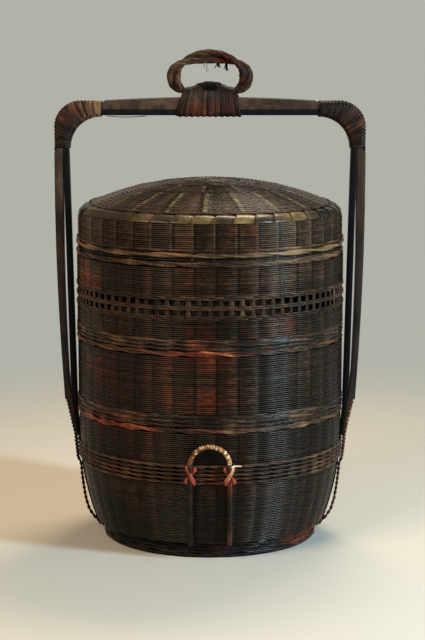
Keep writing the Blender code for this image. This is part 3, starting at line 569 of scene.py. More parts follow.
def spin_section(bm, section, tone, steps=160):
    """Spins a closed section of radius and height pairs, and unrolls its faces round the axis, in metres."""
    older = set(bm.faces)
    verts = [bm.verts.new((r, 0.0, z)) for r, z in section]
    edges = [bm.edges.new(pair) for pair in zip(verts, verts[1:] + verts[:1])]
    bmesh.ops.spin(
        bm, geom=verts + edges, cent=(0.0, 0.0, 0.0), axis=Z_AXIS, angle=tau, steps=steps, use_merge=True,
    )
    uv_layer, tone_layer = layers(bm)
    for face in bm.faces:
        if face in older:
            continue
        middle = face.calc_center_median()
        facing = atan2(middle.y, middle.x)
        for loop in face.loops:
            spot = loop.vert.co
            turn = atan2(spot.y, spot.x)
            if turn - facing > pi:
                turn -= tau
            elif facing - turn > pi:
                turn += tau
            loop[uv_layer].uv = (turn * NEST, spot.z)
            loop.vert[tone_layer] = tone


def add_hoop(bm, inner, outer, low, high, edge, tone=0.5):
    """A plain hoop with rounded edges."""
    spin_section(bm, [
        (inner + edge, low), (outer - edge, low), (outer, low + edge), (outer, high - edge),
        (outer - edge, high), (inner + edge, high), (inner, high - edge), (inner, low + edge),
    ], tone)


def lining_piece(name, body, outline, thickness=1.0 * MM, steps=160):
    """A thin sheet just inside an outline, behind the weave, painted near black as painted shade of the
    basket's inside.
    """
    bm = new_mesh()
    spin_section(bm, outline + [(r - thickness, z) for r, z in reversed(outline)], 0.5, steps)
    finish_piece(name, bm, body, "smoked_rattan_and_shade", "dark_weave")


# Materials

def add_node(tree, kind, inputs=None, stops=(), output=0, **settings):
    """Adds a node with its settings, a value or a link for each input and a colour ramp's stops.

    It gives back the output asked for, and a stop's colour is a hex code or linear RGB.
    """
    node = tree.nodes.new("ShaderNode" + kind)
    for name, value in settings.items():
        setattr(node, name, value)
    for socket, value in (inputs or {}).items():
        if isinstance(value, bpy.types.NodeSocket):
            tree.links.new(value, node.inputs[socket])
        else:
            node.inputs[socket].default_value = value
    while stops and len(node.color_ramp.elements) < len(stops):
        node.color_ramp.elements.new(0.5)
    for number, (place, colour) in enumerate(stops):
        element = node.color_ramp.elements[number]
        element.position = place
        element.color = (*(linear(colour) if isinstance(colour, str) else colour), 1.0)
    return node.outputs[output]


def start_material(name, roughness, coat, specular, film=(1.0, 1.0, 1.0)):
    """A dielectric with its gloss set on the shader's sockets. Dry old lacquer reflects less than glass."""
    material = bpy.data.materials.new(name)
    material.use_nodes = True
    tree = material.node_tree
    shader = tree.nodes["Principled BSDF"]
    for socket, value in (
        ("IOR", 1.5), ("Roughness", roughness), ("Specular IOR Level", specular),
        ("Specular Tint", (*film, 1.0)), ("Coat Weight", coat), ("Coat Roughness", 0.22),
    ):
        shader.inputs[socket].default_value = value
    return material, tree, shader


def weighted_sum(tree, parts, offset=0.0):
    """Adds scaled outputs to an offset: parts are pairs of output and weight."""
    total = offset
    for output, weight in parts:
        total = add_node(tree, "Math", {0: output, 1: weight, 2: total}, operation="MULTIPLY_ADD")
    return total


def grain(tree, coordinates, sizes, detail=4.0):
    """Cloudy pattern. sizes are one cloud's lengths along the axes: metres, or turns where V goes round."""
    sizes = per_point(sizes, 3)
    placed = add_node(tree, "Mapping", {"Vector": coordinates, "Scale": [1.0 / size for size in sizes]})
    return add_node(
        tree, "TexNoise", {"Vector": placed, "Scale": 1.0, "Detail": detail, "Roughness": 0.65}, output="Fac",
    )


def red_lacquer(tree, place, factor, colour, stops, kept, strength):
    """Mixes in the red lacquer, left in patches 100 mm wide that lie closest at the left of the front."""
    patches = grain(tree, place, (100 * MM, 100 * MM, 70 * MM), detail=2.0)
    away = add_node(tree, "VectorMath", {0: place, 1: RED_STAIN}, output="Value", operation="DISTANCE")
    near = add_node(tree, "Math", {0: away, 1: STAIN_REACH}, operation="MINIMUM")
    share = weighted_sum(tree, [(patches, 0.85), (near, -1.3)], kept + 0.075)
    amount = add_node(
        tree, "MapRange", {"Value": share, "From Min": 0.42, "From Max": 0.66, "To Max": strength},
        interpolation_type="SMOOTHSTEP",
    )
    reds = add_node(tree, "ValToRGB", {"Fac": factor}, stops)
    return add_node(
        tree, "Mix", {"Factor": amount, "A": colour, "B": reds}, output="Result", data_type="RGBA",
    )


def finish_surface(tree, shader, colour, fibres, roughness, depth):
    """Links a colour, and lets the fibres roughen and raise the surface."""
    rough = add_node(tree, "MapRange", {
        "Value": fibres, "From Min": 0.3, "From Max": 0.7,
        "To Min": roughness - 0.08, "To Max": roughness + 0.14,
    })
    raised = add_node(tree, "Bump", {"Strength": 0.5, "Distance": depth, "Height": fibres})
    for output, socket in ((colour, "Base Color"), (rough, "Roughness"), (raised, "Normal")):
        tree.links.new(output, shader.inputs[socket])


def cane_material(name, stops, reds=None, kept=0.0, strength=0.85, roughness=0.38, coat=0.1, specular=0.1):
    """Rattan cane. stops go from the darkest to the most worn, and the tone of each cane shifts it there.

    Fibres 22 mm long show as streaks: real ones are thinner than a tenth of the cane, drawn a ninth of its
    round. Handling has worn it in patches 90 mm wide and flecks of 14 mm. reds are the stops of the red
    lacquer, and kept is how much of it is left.
    """
    _, tree, shader = start_material(name, roughness, coat, specular, LACQUER_FILM)
    tone = add_node(tree, "Attribute", output="Fac", attribute_name="tone")
    place = add_node(tree, "TexCoord", output="Object")
    fibres = grain(tree, place.node.outputs["UV"], (22 * MM, 1 / 9, 1.0))
    patches = grain(tree, place, 90 * MM, detail=2.0)
    flecks = grain(tree, place, 14 * MM, detail=2.0)
    factor = weighted_sum(tree, [(tone, 0.42), (fibres, 0.5), (patches, 1.2), (flecks, 0.6)], -0.93)
    colour = add_node(tree, "ValToRGB", {"Fac": factor}, stops)
    if reds:
        colour = red_lacquer(tree, place, factor, colour, reds, kept, strength)
    finish_surface(tree, shader, colour, fibres, roughness, 0.12 * MM)


def weave_material(name, weave, kept, ribs=(), groove_shade=0.3):
    """Lacquered split bamboo: columns between the stakes differ in tone, and painted shade darkens their
    edges, in the groove where two columns meet.

    kept is how much of the red lacquer is left, ribs are the rings of raised ribs, as rubbed_ribs takes
    them, and the last argument is how dark the painted shade at the columns' edges is. A column is a
    fortieth of the round, about 30 mm over two stakes. Streaks in it are 14 mm long and 3.6 mm high,
    coarser than the real grain so that they show.
    """
    _, tree, shader = start_material(name, 0.36, 0.0, 0.18, LACQUER_FILM)
    tone = add_node(tree, "Attribute", output="Fac", attribute_name="tone")
    place = add_node(tree, "TexCoord", output="Object")
    height = add_node(tree, "SeparateXYZ", {"Vector": place}, output="Z")
    turn = add_node(
        tree, "Math", {0: height.node.outputs["Y"], 1: height.node.outputs["X"]}, operation="ARCTAN2",
    )
    column = weighted_sum(tree, [(turn, COLUMNS / 2)], -COLUMNS / 2 * COLUMN_TURN)
    wave = add_node(tree, "Math", {0: column}, operation="COSINE")
    across = add_node(tree, "Math", {0: wave}, operation="ABSOLUTE")
    # Painted shade: the weave is darkened along the columns' edges, in the groove where two columns meet and
    # shade falls
    edge = add_node(
        tree, "MapRange", {"Value": across, "From Min": 0.03, "From Max": 0.32},
        interpolation_type="SMOOTHSTEP",
    )
    # Painted light: one side of each column is made a little lighter than the other, as light falls on it
    # from the side
    side = add_node(tree, "Math", {0: weighted_sum(tree, [(column, 2.0)])}, operation="SINE")

    # Each column has its own tone, which changes from one tier to the next
    number = add_node(tree, "Math", {0: weighted_sum(tree, [(column, 1 / pi)], 0.5)}, operation="FLOOR")
    tier = add_node(tree, "Math", {0: weighted_sum(tree, [(height, 9.2)], 0.22)}, operation="FLOOR")
    seed = weighted_sum(tree, [(number, 1.0), (tier, 100.0)])
    split = add_node(tree, "TexWhiteNoise", {"W": seed}, output="Value", noise_dimensions="1D")

    unrolled = add_node(tree, "CombineXYZ", {"X": turn, "Y": height})
    fibres = grain(tree, unrolled, (14 * MM / BOTTOM_RADIUS, 3.6 * MM, 1.0))
    patches = grain(tree, place, 125 * MM, detail=3.0)
    # The height term paints the weave lighter towards the top: painted light, falling from above
    factor = weighted_sum(tree, [
        (tone, 0.22), (split, 0.14), (side, 0.05), (fibres, 0.8), (patches, 0.9), (edge, groove_shade),
        (height, 0.75),
    ], -1.005 - groove_shade)
    colour = add_node(tree, "ValToRGB", {"Fac": factor}, (
        (0.0, "#0b0705"), (0.3, weave.dark), (0.62, weave.brown), (1.0, weave.worn),
    ))
    reds = ((0.0, "#140604"), (0.24, "#36140a"), (0.48, "#6c2c14"), (0.9, "#a4562c"))
    colour = red_lacquer(tree, place, factor, colour, reds, kept, 0.8)
    for rib in ribs:
        colour = rubbed_ribs(tree, colour, place, turn, fibres, *rib)
    finish_surface(tree, shader, colour, fibres, 0.34, 0.08 * MM)


def rubbed_ribs(tree, colour, place, turn, fibres, half_count, half_width, inner, outer, rib_turn, wear):
    """Rubs the lacquer off a ring of ribs between two radii, down to the ochre of the bamboo."""
    flat = add_node(tree, "VectorMath", {0: place, 1: (1.0, 1.0, 0.0)}, operation="MULTIPLY")
    radius = add_node(tree, "VectorMath", {0: flat}, output="Value", operation="LENGTH")
    swing = weighted_sum(tree, [(turn, half_count)], -rib_turn * half_count)
    swing = add_node(tree, "Math", {0: swing}, operation="SINE")
    swing = add_node(tree, "Math", {0: swing}, operation="ABSOLUTE")
    aside = add_node(tree, "Math", {0: swing, 1: radius}, operation="MULTIPLY")
    crest = add_node(tree, "MapRange", {
        "Value": aside, "From Min": half_width * half_count, "From Max": half_width * half_count * 0.4,
    }, interpolation_type="SMOOTHSTEP")
    beyond = add_node(tree, "Math", {0: radius, 1: inner}, operation="GREATER_THAN")
    within = add_node(tree, "Math", {0: radius, 1: outer}, operation="LESS_THAN")
    rubbed = add_node(tree, "MapRange", {
        "Value": fibres, "From Min": 0.42, "From Max": 0.62, "To Min": wear / 8, "To Max": wear,
    })
    amount = 1.0
    for share in (crest, beyond, within, rubbed):
        amount = add_node(tree, "Math", {0: share, 1: amount}, operation="MULTIPLY")
    ochre = (*linear("#7d6c46"), 1.0)
    return add_node(
        tree, "Mix", {"Factor": amount, "A": colour, "B": ochre}, output="Result", data_type="RGBA",
    )


def slat_material(name, stops, roughness, coat, specular):
    """Bamboo slat: fibres 70 mm long and 1.3 mm wide run along it, with darker smears where hands hold it.

    The fibres are a few times wider than real ones, so that they show.
    """
    _, tree, shader = start_material(name, roughness, coat, specular)
    place = add_node(tree, "TexCoord", output="Object")
    fibres = grain(tree, place.node.outputs["UV"], (70 * MM, 1.3 * MM, 1.0), detail=6.0)
    smears = grain(tree, place, 70 * MM)
    height = add_node(tree, "SeparateXYZ", {"Vector": place}, output="Z")
    factor = weighted_sum(tree, [(fibres, 0.9), (smears, 0.9), (height, 0.7)], -0.82)
    colour = add_node(tree, "ValToRGB", {"Fac": factor}, stops)
    finish_surface(tree, shader, colour, fibres, roughness, 0.2 * MM)


def floor_material(colour):
    """Matt paper that fades out into the backdrop away from the basket."""
    material, tree, shader = start_material("matt_floor_paper", 0.75, 0.0, 0.5)
    shader.inputs["Base Color"].default_value = (*colour, 1.0)
    place = add_node(tree, "TexCoord", output="Object")
    away = add_node(tree, "VectorMath", {0: place}, output="Value", operation="LENGTH")
    fade = add_node(
        tree, "MapRange", {"Value": away, "From Min": 0.45, "From Max": 1.7}, interpolation_type="SMOOTHSTEP",
    )
    clear = add_node(tree, "BsdfTransparent")
    blend = add_node(tree, "MixShader", {0: fade, 1: shader.outputs[0], 2: clear})
    tree.links.new(blend, tree.nodes["Material Output"].inputs["Surface"])
    return material


def make_finishes(weave, ropes, handle, loops):
    reds = ((0.1, "#1a0a06"), (0.4, "#4a1d10"), (0.65, ropes.red), (1.0, "#cf8a4e"))

    # Split bamboo woven over stakes and lacquered: near black with brown columns, and a low sheen on the rows
    weave_material("lacquered_bamboo_weave", weave, 0.12)
    # The same round the lid's wall: thin raised ridges, with the lacquer rubbed off them in pale dots
    weave_material("lacquered_bamboo_skirt", weave, 0.03, [(COLUMNS / 2, 1.3 * MM, 0.0, 1.0, LID_TURN, 0.42)])
    # The same on the dome: broad ochre ribs where hands have worn the lacquer off
    weave_material("lacquered_bamboo_crown", weave, -0.06, [
        (OUTER_HALF_RIBS, 4.0 * MM, 0.110, 0.172, RIB_TURN, 0.9),
        (INNER_HALF_RIBS, 3.0 * MM, 0.072, 0.104, INNER_RIB_TURN, 0.6),
    ], groove_shade=0.04)

    # Round rattan twisted into ropes, lacquered over: glossy gold brown, red where the second coat has stayed
    cane_material(
        "red_lacquered_rattan", ((0.1, "#120b08"), (0.4, ropes.brown), (0.65, "#5e3f28"), (1.0, "#b48a56")),
        reds, 0.16, roughness=0.34, coat=0.06, specular=0.2,
    )
    # The same at the lid: amber brown, hardly red, with hard gold glints along the strands
    cane_material(
        "amber_lacquered_rattan", ((0.1, "#120b07"), (0.34, "#38251a"), (0.52, "#6a4a2e"), (1.0, "#88663b")),
        reds, 0.09, roughness=0.34, coat=0.06, specular=0.2,
    )
    # The same with hardly any red: dull brown rows that catch the light on their tops
    cane_material(
        "brown_lacquered_rattan",
        ((0.05, "#0e0806"), (0.42, ropes.brown), (0.7, "#4e3320"), (1.0, "#7c5836")),
        reds, 0.05, coat=0.04, specular=0.16,
    )
    # Rattan blackened by smoke and floor dirt: dark, with the red showing in a few long patches. The linings
    # behind the weave use it as painted shade of the basket's inside.
    cane_material(
        "smoked_rattan_and_shade", ((0.05, "#070504"), (0.45, "#150e0a"), (0.7, "#2b1b14"), (1.0, "#5e3f29")),
        reds, 0.09,
    )
    # Frayed fibres and the pad of them under the winding: matt black
    cane_material(
        "frayed_rattan_fibre", ((0.1, "#050404"), (0.5, "#0e0a08"), (1.0, "#2a1e16")),
        roughness=0.8, coat=0.0, specular=0.06,
    )
    # Peel of the rattan, used for windings: olive and tan bands beside dark ones, lacquered red in places
    cane_material(
        "rattan_peel", ((0.1, "#0c0806"), (0.45, "#241912"), (0.7, "#463421"), (1.0, "#83643c")),
        reds, 0.21, strength=0.6, roughness=0.48, coat=0.0, specular=0.12,
    )
    # Lashings lacquered on their own: red all over, with pale bruises at the bends
    cane_material(
        "vermilion_rattan", ((0.1, "#2a0e09"), (0.4, ropes.red), (0.7, "#97412a"), (1.0, "#cf9a66")),
        coat=0.3,
    )
    # Bamboo stakes in the open windows, scraped and stained: dark brown, tan where they are rubbed
    cane_material(
        "scraped_bamboo_stake", ((0.05, "#0d0805"), (0.4, "#24170f"), (0.7, "#463021"), (1.0, "#806548")),
    )
    # Bare rattan worn by hands: straw to orange brown, and dark brown where the loops' arches are painted
    # darker towards their ends
    cane_material(
        "bare_rattan",
        ((0.0, "#2a150c"), (0.3, "#6e3a1c"), (0.5, "#9a5e30"), (0.75, loops.pale), (1.0, "#f0dfb6")),
        roughness=0.4, coat=0.3,
    )
    # Flat splints with the smooth bamboo skin on them: a hard golden glare along the shoulder, from their
    # gloss and from a painted highlight in the splints' tones
    cane_material(
        "bamboo_skin_splint", ((0.05, "#150e0a"), (0.4, "#3a2b1b"), (0.7, "#6a5330"), (1.0, "#a2864f")),
        roughness=0.33, coat=0.2,
    )
    # Bamboo bent over a fire and oiled: brown, streaked lengthwise, satin
    slat_material("oiled_bamboo", ((0.1, "#140e0a"), (0.5, handle.bow), (0.95, "#62492f")), 0.45, 0.03, 0.14)
    # Bamboo hoops inside the tiers, browned by age: warm brown, dull
    slat_material("aged_bamboo", ((0.1, "#2a190e"), (0.5, "#553820"), (0.95, "#825d38")), 0.58, 0.0, 0.12)
    # Bamboo blackened by soot: nearly black, dull
    slat_material("sooted_bamboo", ((0.1, "#060404"), (0.5, handle.inner), (0.95, "#231912")), 0.6, 0.0, 0.06)
    # Bamboo inside the tiers, unlacquered: yellow brown, dry
    slat_material("raw_bamboo", ((0.1, "#5a4027"), (0.5, "#8f6d44"), (0.95, "#b8966a")), 0.5, 0.0, 0.3)


def finish_named(name):
    """One of the basket's materials. The first call makes them all."""
    if name not in bpy.data.materials:
        scene = bpy.context.scene
        make_finishes(scene.basket_weave, scene.basket_ropes, scene.basket_handle, scene.basket_loops)
    return bpy.data.materials[name]


# Operators

class BASKET_OT_walls(bpy.types.Operator):
    """Weave the walls of the bottom and middle tiers"""

    bl_idname = "basket.walls"
    bl_label = "Tier walls"

    def execute(self, context):
        weave = context.scene.basket_weave
        rng = random.Random(11)
        low, high = heights("bottom_tier_wall")
        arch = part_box("front_loop")[1]

        def painted_shade(angle, height):
            """Painted shade inside the loops' arches, 5 mm below their tops and 8 mm from their outer sides,
            where the arches shade the weave.
            """
            rise = (height - BAND_HIGH) / (arch.z - BAND_HIGH - 5 * MM)
            if not -0.3 < rise < 1.0:
                return False
            return abs(cos(angle)) * BOTTOM_RADIUS < (arch.x - 8 * MM) * sqrt(1.0 - max(rise, 0.0) ** 2)

        bm = new_mesh()
        for start, end in ((low, BAND_LOW + 3 * MM), (BAND_HIGH - 3 * MM, high)):
            rows = spaced(belly_outline(start, end, WALL_INSET), weave.row_pitch)
            weave_rows(bm, rows, weave, rng, painted_shade=painted_shade)
        finish_piece(
            "bottom_tier_weave", bm, "cradle", "lacquered_bamboo_weave", "dark_weave", "bottom_tier_wall",
        )
        lining_piece("bottom_tier_lining", "cradle", belly_outline(low, high, 3.6 * MM))

        low, high = heights("middle_tier_wall")
        bm = new_mesh()
        rows = spaced(straight_outline(MIDDLE_RADIUS - WALL_INSET, low, high), weave.row_pitch)
        weave_rows(bm, rows, weave, rng)
        finish_piece(
            "middle_tier_weave", bm, "middle_tier", "lacquered_bamboo_weave", "dark_weave",
            "middle_tier_wall",
        )
        lining_piece("middle_tier_lining", "middle_tier", straight_outline(LINING_RADIUS, low, high))
        return {"FINISHED"}


class BASKET_OT_openwork(bpy.types.Operator):
    """Weave the upper tier with its two rows of windows"""

    bl_idname = "basket.openwork"
    bl_label = "Openwork tier"

    def execute(self, context):
        weave = context.scene.basket_weave
        rng = random.Random(12)
        low, high = heights("upper_tier_wall")
        middle = sum(heights("upper_tier_window_cord")) / 2
        sill, head = middle - WINDOW_HALF_HEIGHT, middle + WINDOW_HALF_HEIGHT
        bm = new_mesh()
        for start, end in ((low, sill - 3.5 * MM), (head + 3.5 * MM, high)):
            rows = spaced(straight_outline(UPPER_RADIUS - WALL_INSET, start, end), weave.row_pitch)
            weave_rows(bm, rows, weave, rng)
        finish_piece(
            "upper_tier_weave", bm, "upper_tier", "lacquered_bamboo_weave", "dark_weave", "upper_tier_wall",
        )
        for word, start, end in (("low", low, sill - 1 * MM), ("high", head + 1 * MM, high)):
            outline = straight_outline(LINING_RADIUS, start, end)
            lining_piece(f"upper_tier_lining_{word}", "upper_tier", outline)

        # Stakes that widen downwards in each row of windows: heights and half widths
        bm = new_mesh()
        levels = (
            (sill - 6 * MM, 4.3 * MM), (sill, 4.3 * MM), (middle - 3 * MM, 2.8 * MM), (middle, 3.6 * MM),
            (middle + 2.5 * MM, 4.3 * MM), (head - 1 * MM, 2.8 * MM), (head + 6 * MM, 3.4 * MM),
        )
        points = [Vector((UPPER_RADIUS - 2.6 * MM, 0.0, z)) for z, _ in levels]
        add_path_cane(bm, points, X_AXIS, [width for _, width in levels], 1.1 * MM, 0.5, sides=8)
        spin_copies(bm, weave.stakes, 21)
        finish_piece("upper_tier_stakes", bm, "upper_tier", "scraped_bamboo_stake", "dark_weave")

        bm = new_mesh()
        for border in (sill - 0.9 * MM, middle, head + 0.9 * MM):
            for height in (border - 1.4 * MM, border + 1.4 * MM):
                station = level(UPPER_RADIUS - 1.7 * MM, height)
                add_rope(bm, station, 2.6 * MM, 1.7 * MM, 2, 1, 1.3 * MM, 30, rng)
        finish_piece(
            "upper_tier_window_ropes", bm, "upper_tier", "brown_lacquered_rattan", "red_cane",
            "upper_tier_window_cord",
        )
        return {"FINISHED"}


def lay_shoulder_splints(border):
    """Flat splints round the lid's border, each slanted and tucked under the next."""
    bm = new_mesh()
    length = outline_length(border)
    width = tau / COLUMNS

    def place(u, v):
        along, bulge = sin(tau * v), cos(tau * v)
        along = copysign(abs(along) ** 0.4, along)
        r, z, out_r, out_z = station_at(border, length * (along + 1) / 2)
        # 1.4 mm thick, arched, and sinking 1.8 mm along its length, of which 8% lie under the next
        out = 0.7 * MM * bulge + mix(0.3, -1.5, u) * MM + 0.5 * MM * sin(pi * u)
        spin = LID_TURN + width * (1.08 * u + 0.14 * along)
        reach = r + out * out_r
        return Vector((reach * cos(spin), reach * sin(spin), z + out * out_z))

    add_grid_cane(bm, 10, 12, place, lambda u: 0.5, 28 * MM, closed=False)
    spin_copies(bm, COLUMNS, 22)

    # Painted highlight: they are made brighter near x = 28 mm at the front and back, where the glare falls on
    # the shoulder, and darker elsewhere
    tone_layer = layers(bm)[1]
    for vert in bm.verts:
        vert[tone_layer] += 1.0 * exp(-(((vert.co.x - 28 * MM) / (95 * MM)) ** 2)) - 0.7
    finish_piece("lid_shoulder_splints", bm, "lid", "bamboo_skin_splint", "dark_weave")


def weave_dome(rng):
    """Rows of the dome, with ridges over its two rings of ribs and darker rows in the middle."""
    bm = new_mesh()
    for row, station in enumerate(spaced(dome_outline(LEDGE_RADIUS - 1 * MM, 2.5 * MM), 3.2 * MM)):
        radius = station[0]
        outside = radius > DOME_CORD_RADII[0]
        half_ribs, rib_turn = (OUTER_HALF_RIBS, RIB_TURN) if outside else (INNER_HALF_RIBS, INNER_RIB_TURN)
        ridge_height = 1.1 * MM if radius > DOME_CORD_RADII[2] else 0.0
        parity = 1 if row % 2 else -1
        steps = 240 if radius > 60 * MM else 120 if radius > 20 * MM else 48
        lift = rng.uniform(-0.2, 0.2) * MM
        slow = rng.uniform(0, tau)

        def shift(angle):
            swing = half_ribs * (angle - rib_turn)
            aside = abs(sin(swing)) * radius / half_ribs
            ridge = ridge_height * exp(-((aside / (3.0 * MM)) ** 2))
            out = 0.3 * MM * parity * cos(swing) + ridge
            return out - 1.5 * MM, lift + 0.3 * MM * sin(5 * angle + slow)

        tone = rng.random() - (1.6 if radius < 17 * MM else 0.0)
        add_ring_cane(bm, station, 1.7 * MM, 0.8 * MM, shift, steps, tone)
    finish_piece("lid_crown_weave", bm, "lid", "lacquered_bamboo_crown", "dark_weave", "lid_crown")


class BASKET_OT_lid(bpy.types.Operator):
    """Weave the lid: skirt, tiled shoulder and domed crown"""

    bl_idname = "basket.lid"
    bl_label = "Lid"

    def execute(self, context):
        weave = context.scene.basket_weave
        rng = random.Random(13)
        foot = LID_BASE + 0.4 * MM
        shoulder = shoulder_outline()
        tiles_from = next(k for k, (_, z) in enumerate(shoulder) if z > TILE_FOOT)
        bm = new_mesh()
        rows = spaced([(LID_RADIUS, foot)] + shoulder[:tiles_from + 1], weave.row_pitch)
        # The lowest rows, under the rim rope, are painted black: painted shade of the rope
        weave_rows(
            bm, rows, weave, rng, steps=320, swell=0.3 * MM, ridge=6, turned=LID_TURN,
            painted_shade=lambda angle, height: height < LID_BASE + 5.0 * MM,
        )
        finish_piece("lid_skirt_weave", bm, "lid", "lacquered_bamboo_skirt", "dark_weave", "lid_skirt")
        lining_piece("lid_lining", "lid", [(NEST + 0.8 * MM, foot)] + shoulder_outline(2.6 * MM), 0.7 * MM)
        lay_shoulder_splints(shoulder[tiles_from - 1:])
        weave_dome(rng)
        inside = dome_outline(LEDGE_RADIUS - 2 * MM, 6 * MM, 2.6 * MM)
        lining_piece("lid_crown_lining", "lid", inside, 0.7 * MM, steps=120)

        bm = new_mesh()
        for radius in DOME_CORD_RADII:
            station = (radius, dome_height(radius) - 0.9 * MM, 0.3, 0.95)
            add_rope(bm, station, 1.5 * MM, 2.0 * MM, 2, 1, 1.0 * MM, 20, rng, steps=240)
        # Knot that closes the crown's middle
        made = bmesh.ops.create_uvsphere(bm, u_segments=16, v_segments=8, radius=4.5 * MM)["verts"]
        bmesh.ops.scale(bm, vec=(1.0, 1.0, 0.4), verts=made)
        bmesh.ops.translate(bm, vec=(0.0, 0.0, LID_APEX - 2.0 * MM), verts=made)
        finish_piece("lid_crown_cords", bm, "lid", "smoked_rattan_and_shade", "dark_rattan")
        return {"FINISHED"}


class BASKET_OT_ropes(bpy.types.Operator):
    """Lay the ropes at the rims, the bases, the lid and the foot"""

    bl_idname = "basket.ropes"
    bl_label = "Ropes"

    def execute(self, context):
        rim_radius = context.scene.basket_ropes.cane_radius
        rng = random.Random(14)

        # Rims: half depth, what they stand past their solid, canes, radius of a cane and twists
        tier_rim = (3.6 * MM, 0.0, 3, rim_radius, 12)
        lid_rim = (3.3 * MM, 0.5 * MM, 2, rim_radius * 1.35, 7)
        for tier, body, finish, rim in (
            ("bottom_tier", "cradle", "red_lacquered_rattan", tier_rim),
            ("middle_tier", "middle_tier", "red_lacquered_rattan", tier_rim),
            ("upper_tier", "upper_tier", "amber_lacquered_rattan", tier_rim),
            ("lid", "lid", "amber_lacquered_rattan", lid_rim),
        ):
            low, high = heights(f"{tier}_rim_cord")
            depth, past, canes, radius, twists = rim
            half_height = (high - low) / 2 + past
            bm = new_mesh()
            station = level(CORD_RADIUS - depth, (low + high) / 2)
            add_rope(bm, station, depth, half_height, 2, canes, radius, twists, rng)
            finish_piece(f"{tier}_rim_rope", bm, body, finish, "red_cane", f"{tier}_rim_cord")

        for tier in ("middle_tier", "upper_tier"):
            low, high = heights(f"{tier}_base_cord")
            pitch = (high - low) / 3
            bm = new_mesh()
            for row in range(3):
                station = level(CORD_RADIUS - 2.7 * MM, low + pitch * (row + 0.5))
                add_rope(bm, station, 2.7 * MM, pitch / 2, 2, 2, 1.05 * MM, 14, rng, dimmed=0.4)
            add_hoop(bm, NEST + 0.3 * MM, CORD_RADIUS - 3.6 * MM, low, high, 0.4 * MM, tone=0.0)
            finish_piece(
                f"{tier}_base_ropes", bm, tier, "amber_lacquered_rattan", "red_cane", f"{tier}_base_cord",
            )

        # Thin ropes of the lid: radius, outward direction, steps, finish and slot
        for word, radius, out_r, out_z, steps, finish, slot in (
            ("border", LID_RADIUS + 0.6 * MM, 1.0, 0.0, 480, "red_lacquered_rattan", "red_cane"),
            ("ledge", LEDGE_RADIUS + 1.2 * MM, 0.7, 0.7, 320, "brown_lacquered_rattan", "dark_rattan"),
        ):
            station = (radius, sum(heights(f"lid_{word}_cord")) / 2, out_r, out_z)
            bm = new_mesh()
            add_rope(bm, station, 1.5 * MM, 1.5 * MM, 2, 1, 0.9 * MM, 24, rng, steps=steps)
            finish_piece(f"lid_{word}_rope", bm, "lid", finish, slot, f"lid_{word}_cord")

        outer = solid_radius("foot_hoop")
        bm = new_mesh()
        add_hoop(bm, outer - 6 * MM, outer - 3 * MM, 0.0, FOOT_TOP, 0.8 * MM, tone=0.0)
        for height in (6.4 * MM, 16.4 * MM):
            station = level(outer - 3.4 * MM, height)
            add_rope(bm, station, 3.4 * MM, 6.0 * MM, 2, 3, 1.6 * MM, 8, rng, steps=360)
        finish_piece("foot_rope", bm, "cradle", "smoked_rattan_and_shade", "dark_rattan", "foot_hoop")
        return {"FINISHED"}


class BASKET_OT_band(bpy.types.Operator):
    """Twine the five rows of the band round the bottom tier"""

    bl_idname = "basket.band"
    bl_label = "Twined band"

    def execute(self, context):
        rng = random.Random(15)
        rows = 5
        pitch = (BAND_HIGH - BAND_LOW) / rows
        slat = atan2(BOW_HALF_WIDTH, BOTTOM_RADIUS)

        def outward(angle):
            """The rows climb over the handle's slats at both sides."""
            side = abs((angle + pi / 2) % pi - pi / 2)
            return 2.1 * MM * clamp((slat * 1.45 - side) / (slat * 0.4))

        bm = new_mesh()
        for row in range(rows):
            height = BAND_LOW + pitch * (row + 0.5)
            station = level(belly_radius(height) + 0.2 * MM, height)
            add_rope(bm, station, 2.4 * MM, pitch * 0.4, 2, 2, 1.15 * MM, 24, rng, outward=outward)
        finish_piece("twined_band", bm, "cradle", "brown_lacquered_rattan", "red_cane", "waling_band")
        return {"FINISHED"}


def add_woven_floor(bm, radius, height, rng, pitch=11.5 * MM):
    """Splints laid both ways, over one and under one."""
    count = int(radius / pitch)
    for along in (0, 1):
        for number in range(-count, count + 1):
            off = number * pitch
            reach = sqrt(radius**2 - off**2)
            steps = max(4, int(2 * reach / (pitch / 2)))
            points = []
            for k in range(steps + 1):
                way = mix(-reach, reach, k / steps)
                wave = cos(pi * (way / pitch + number + along))
                points.append(Vector((*((way, off) if along else (off, way)), height + 0.75 * MM * wave)))
            add_path_cane(bm, points, Z_AXIS, pitch * 0.47, 0.6 * MM, rng.random())


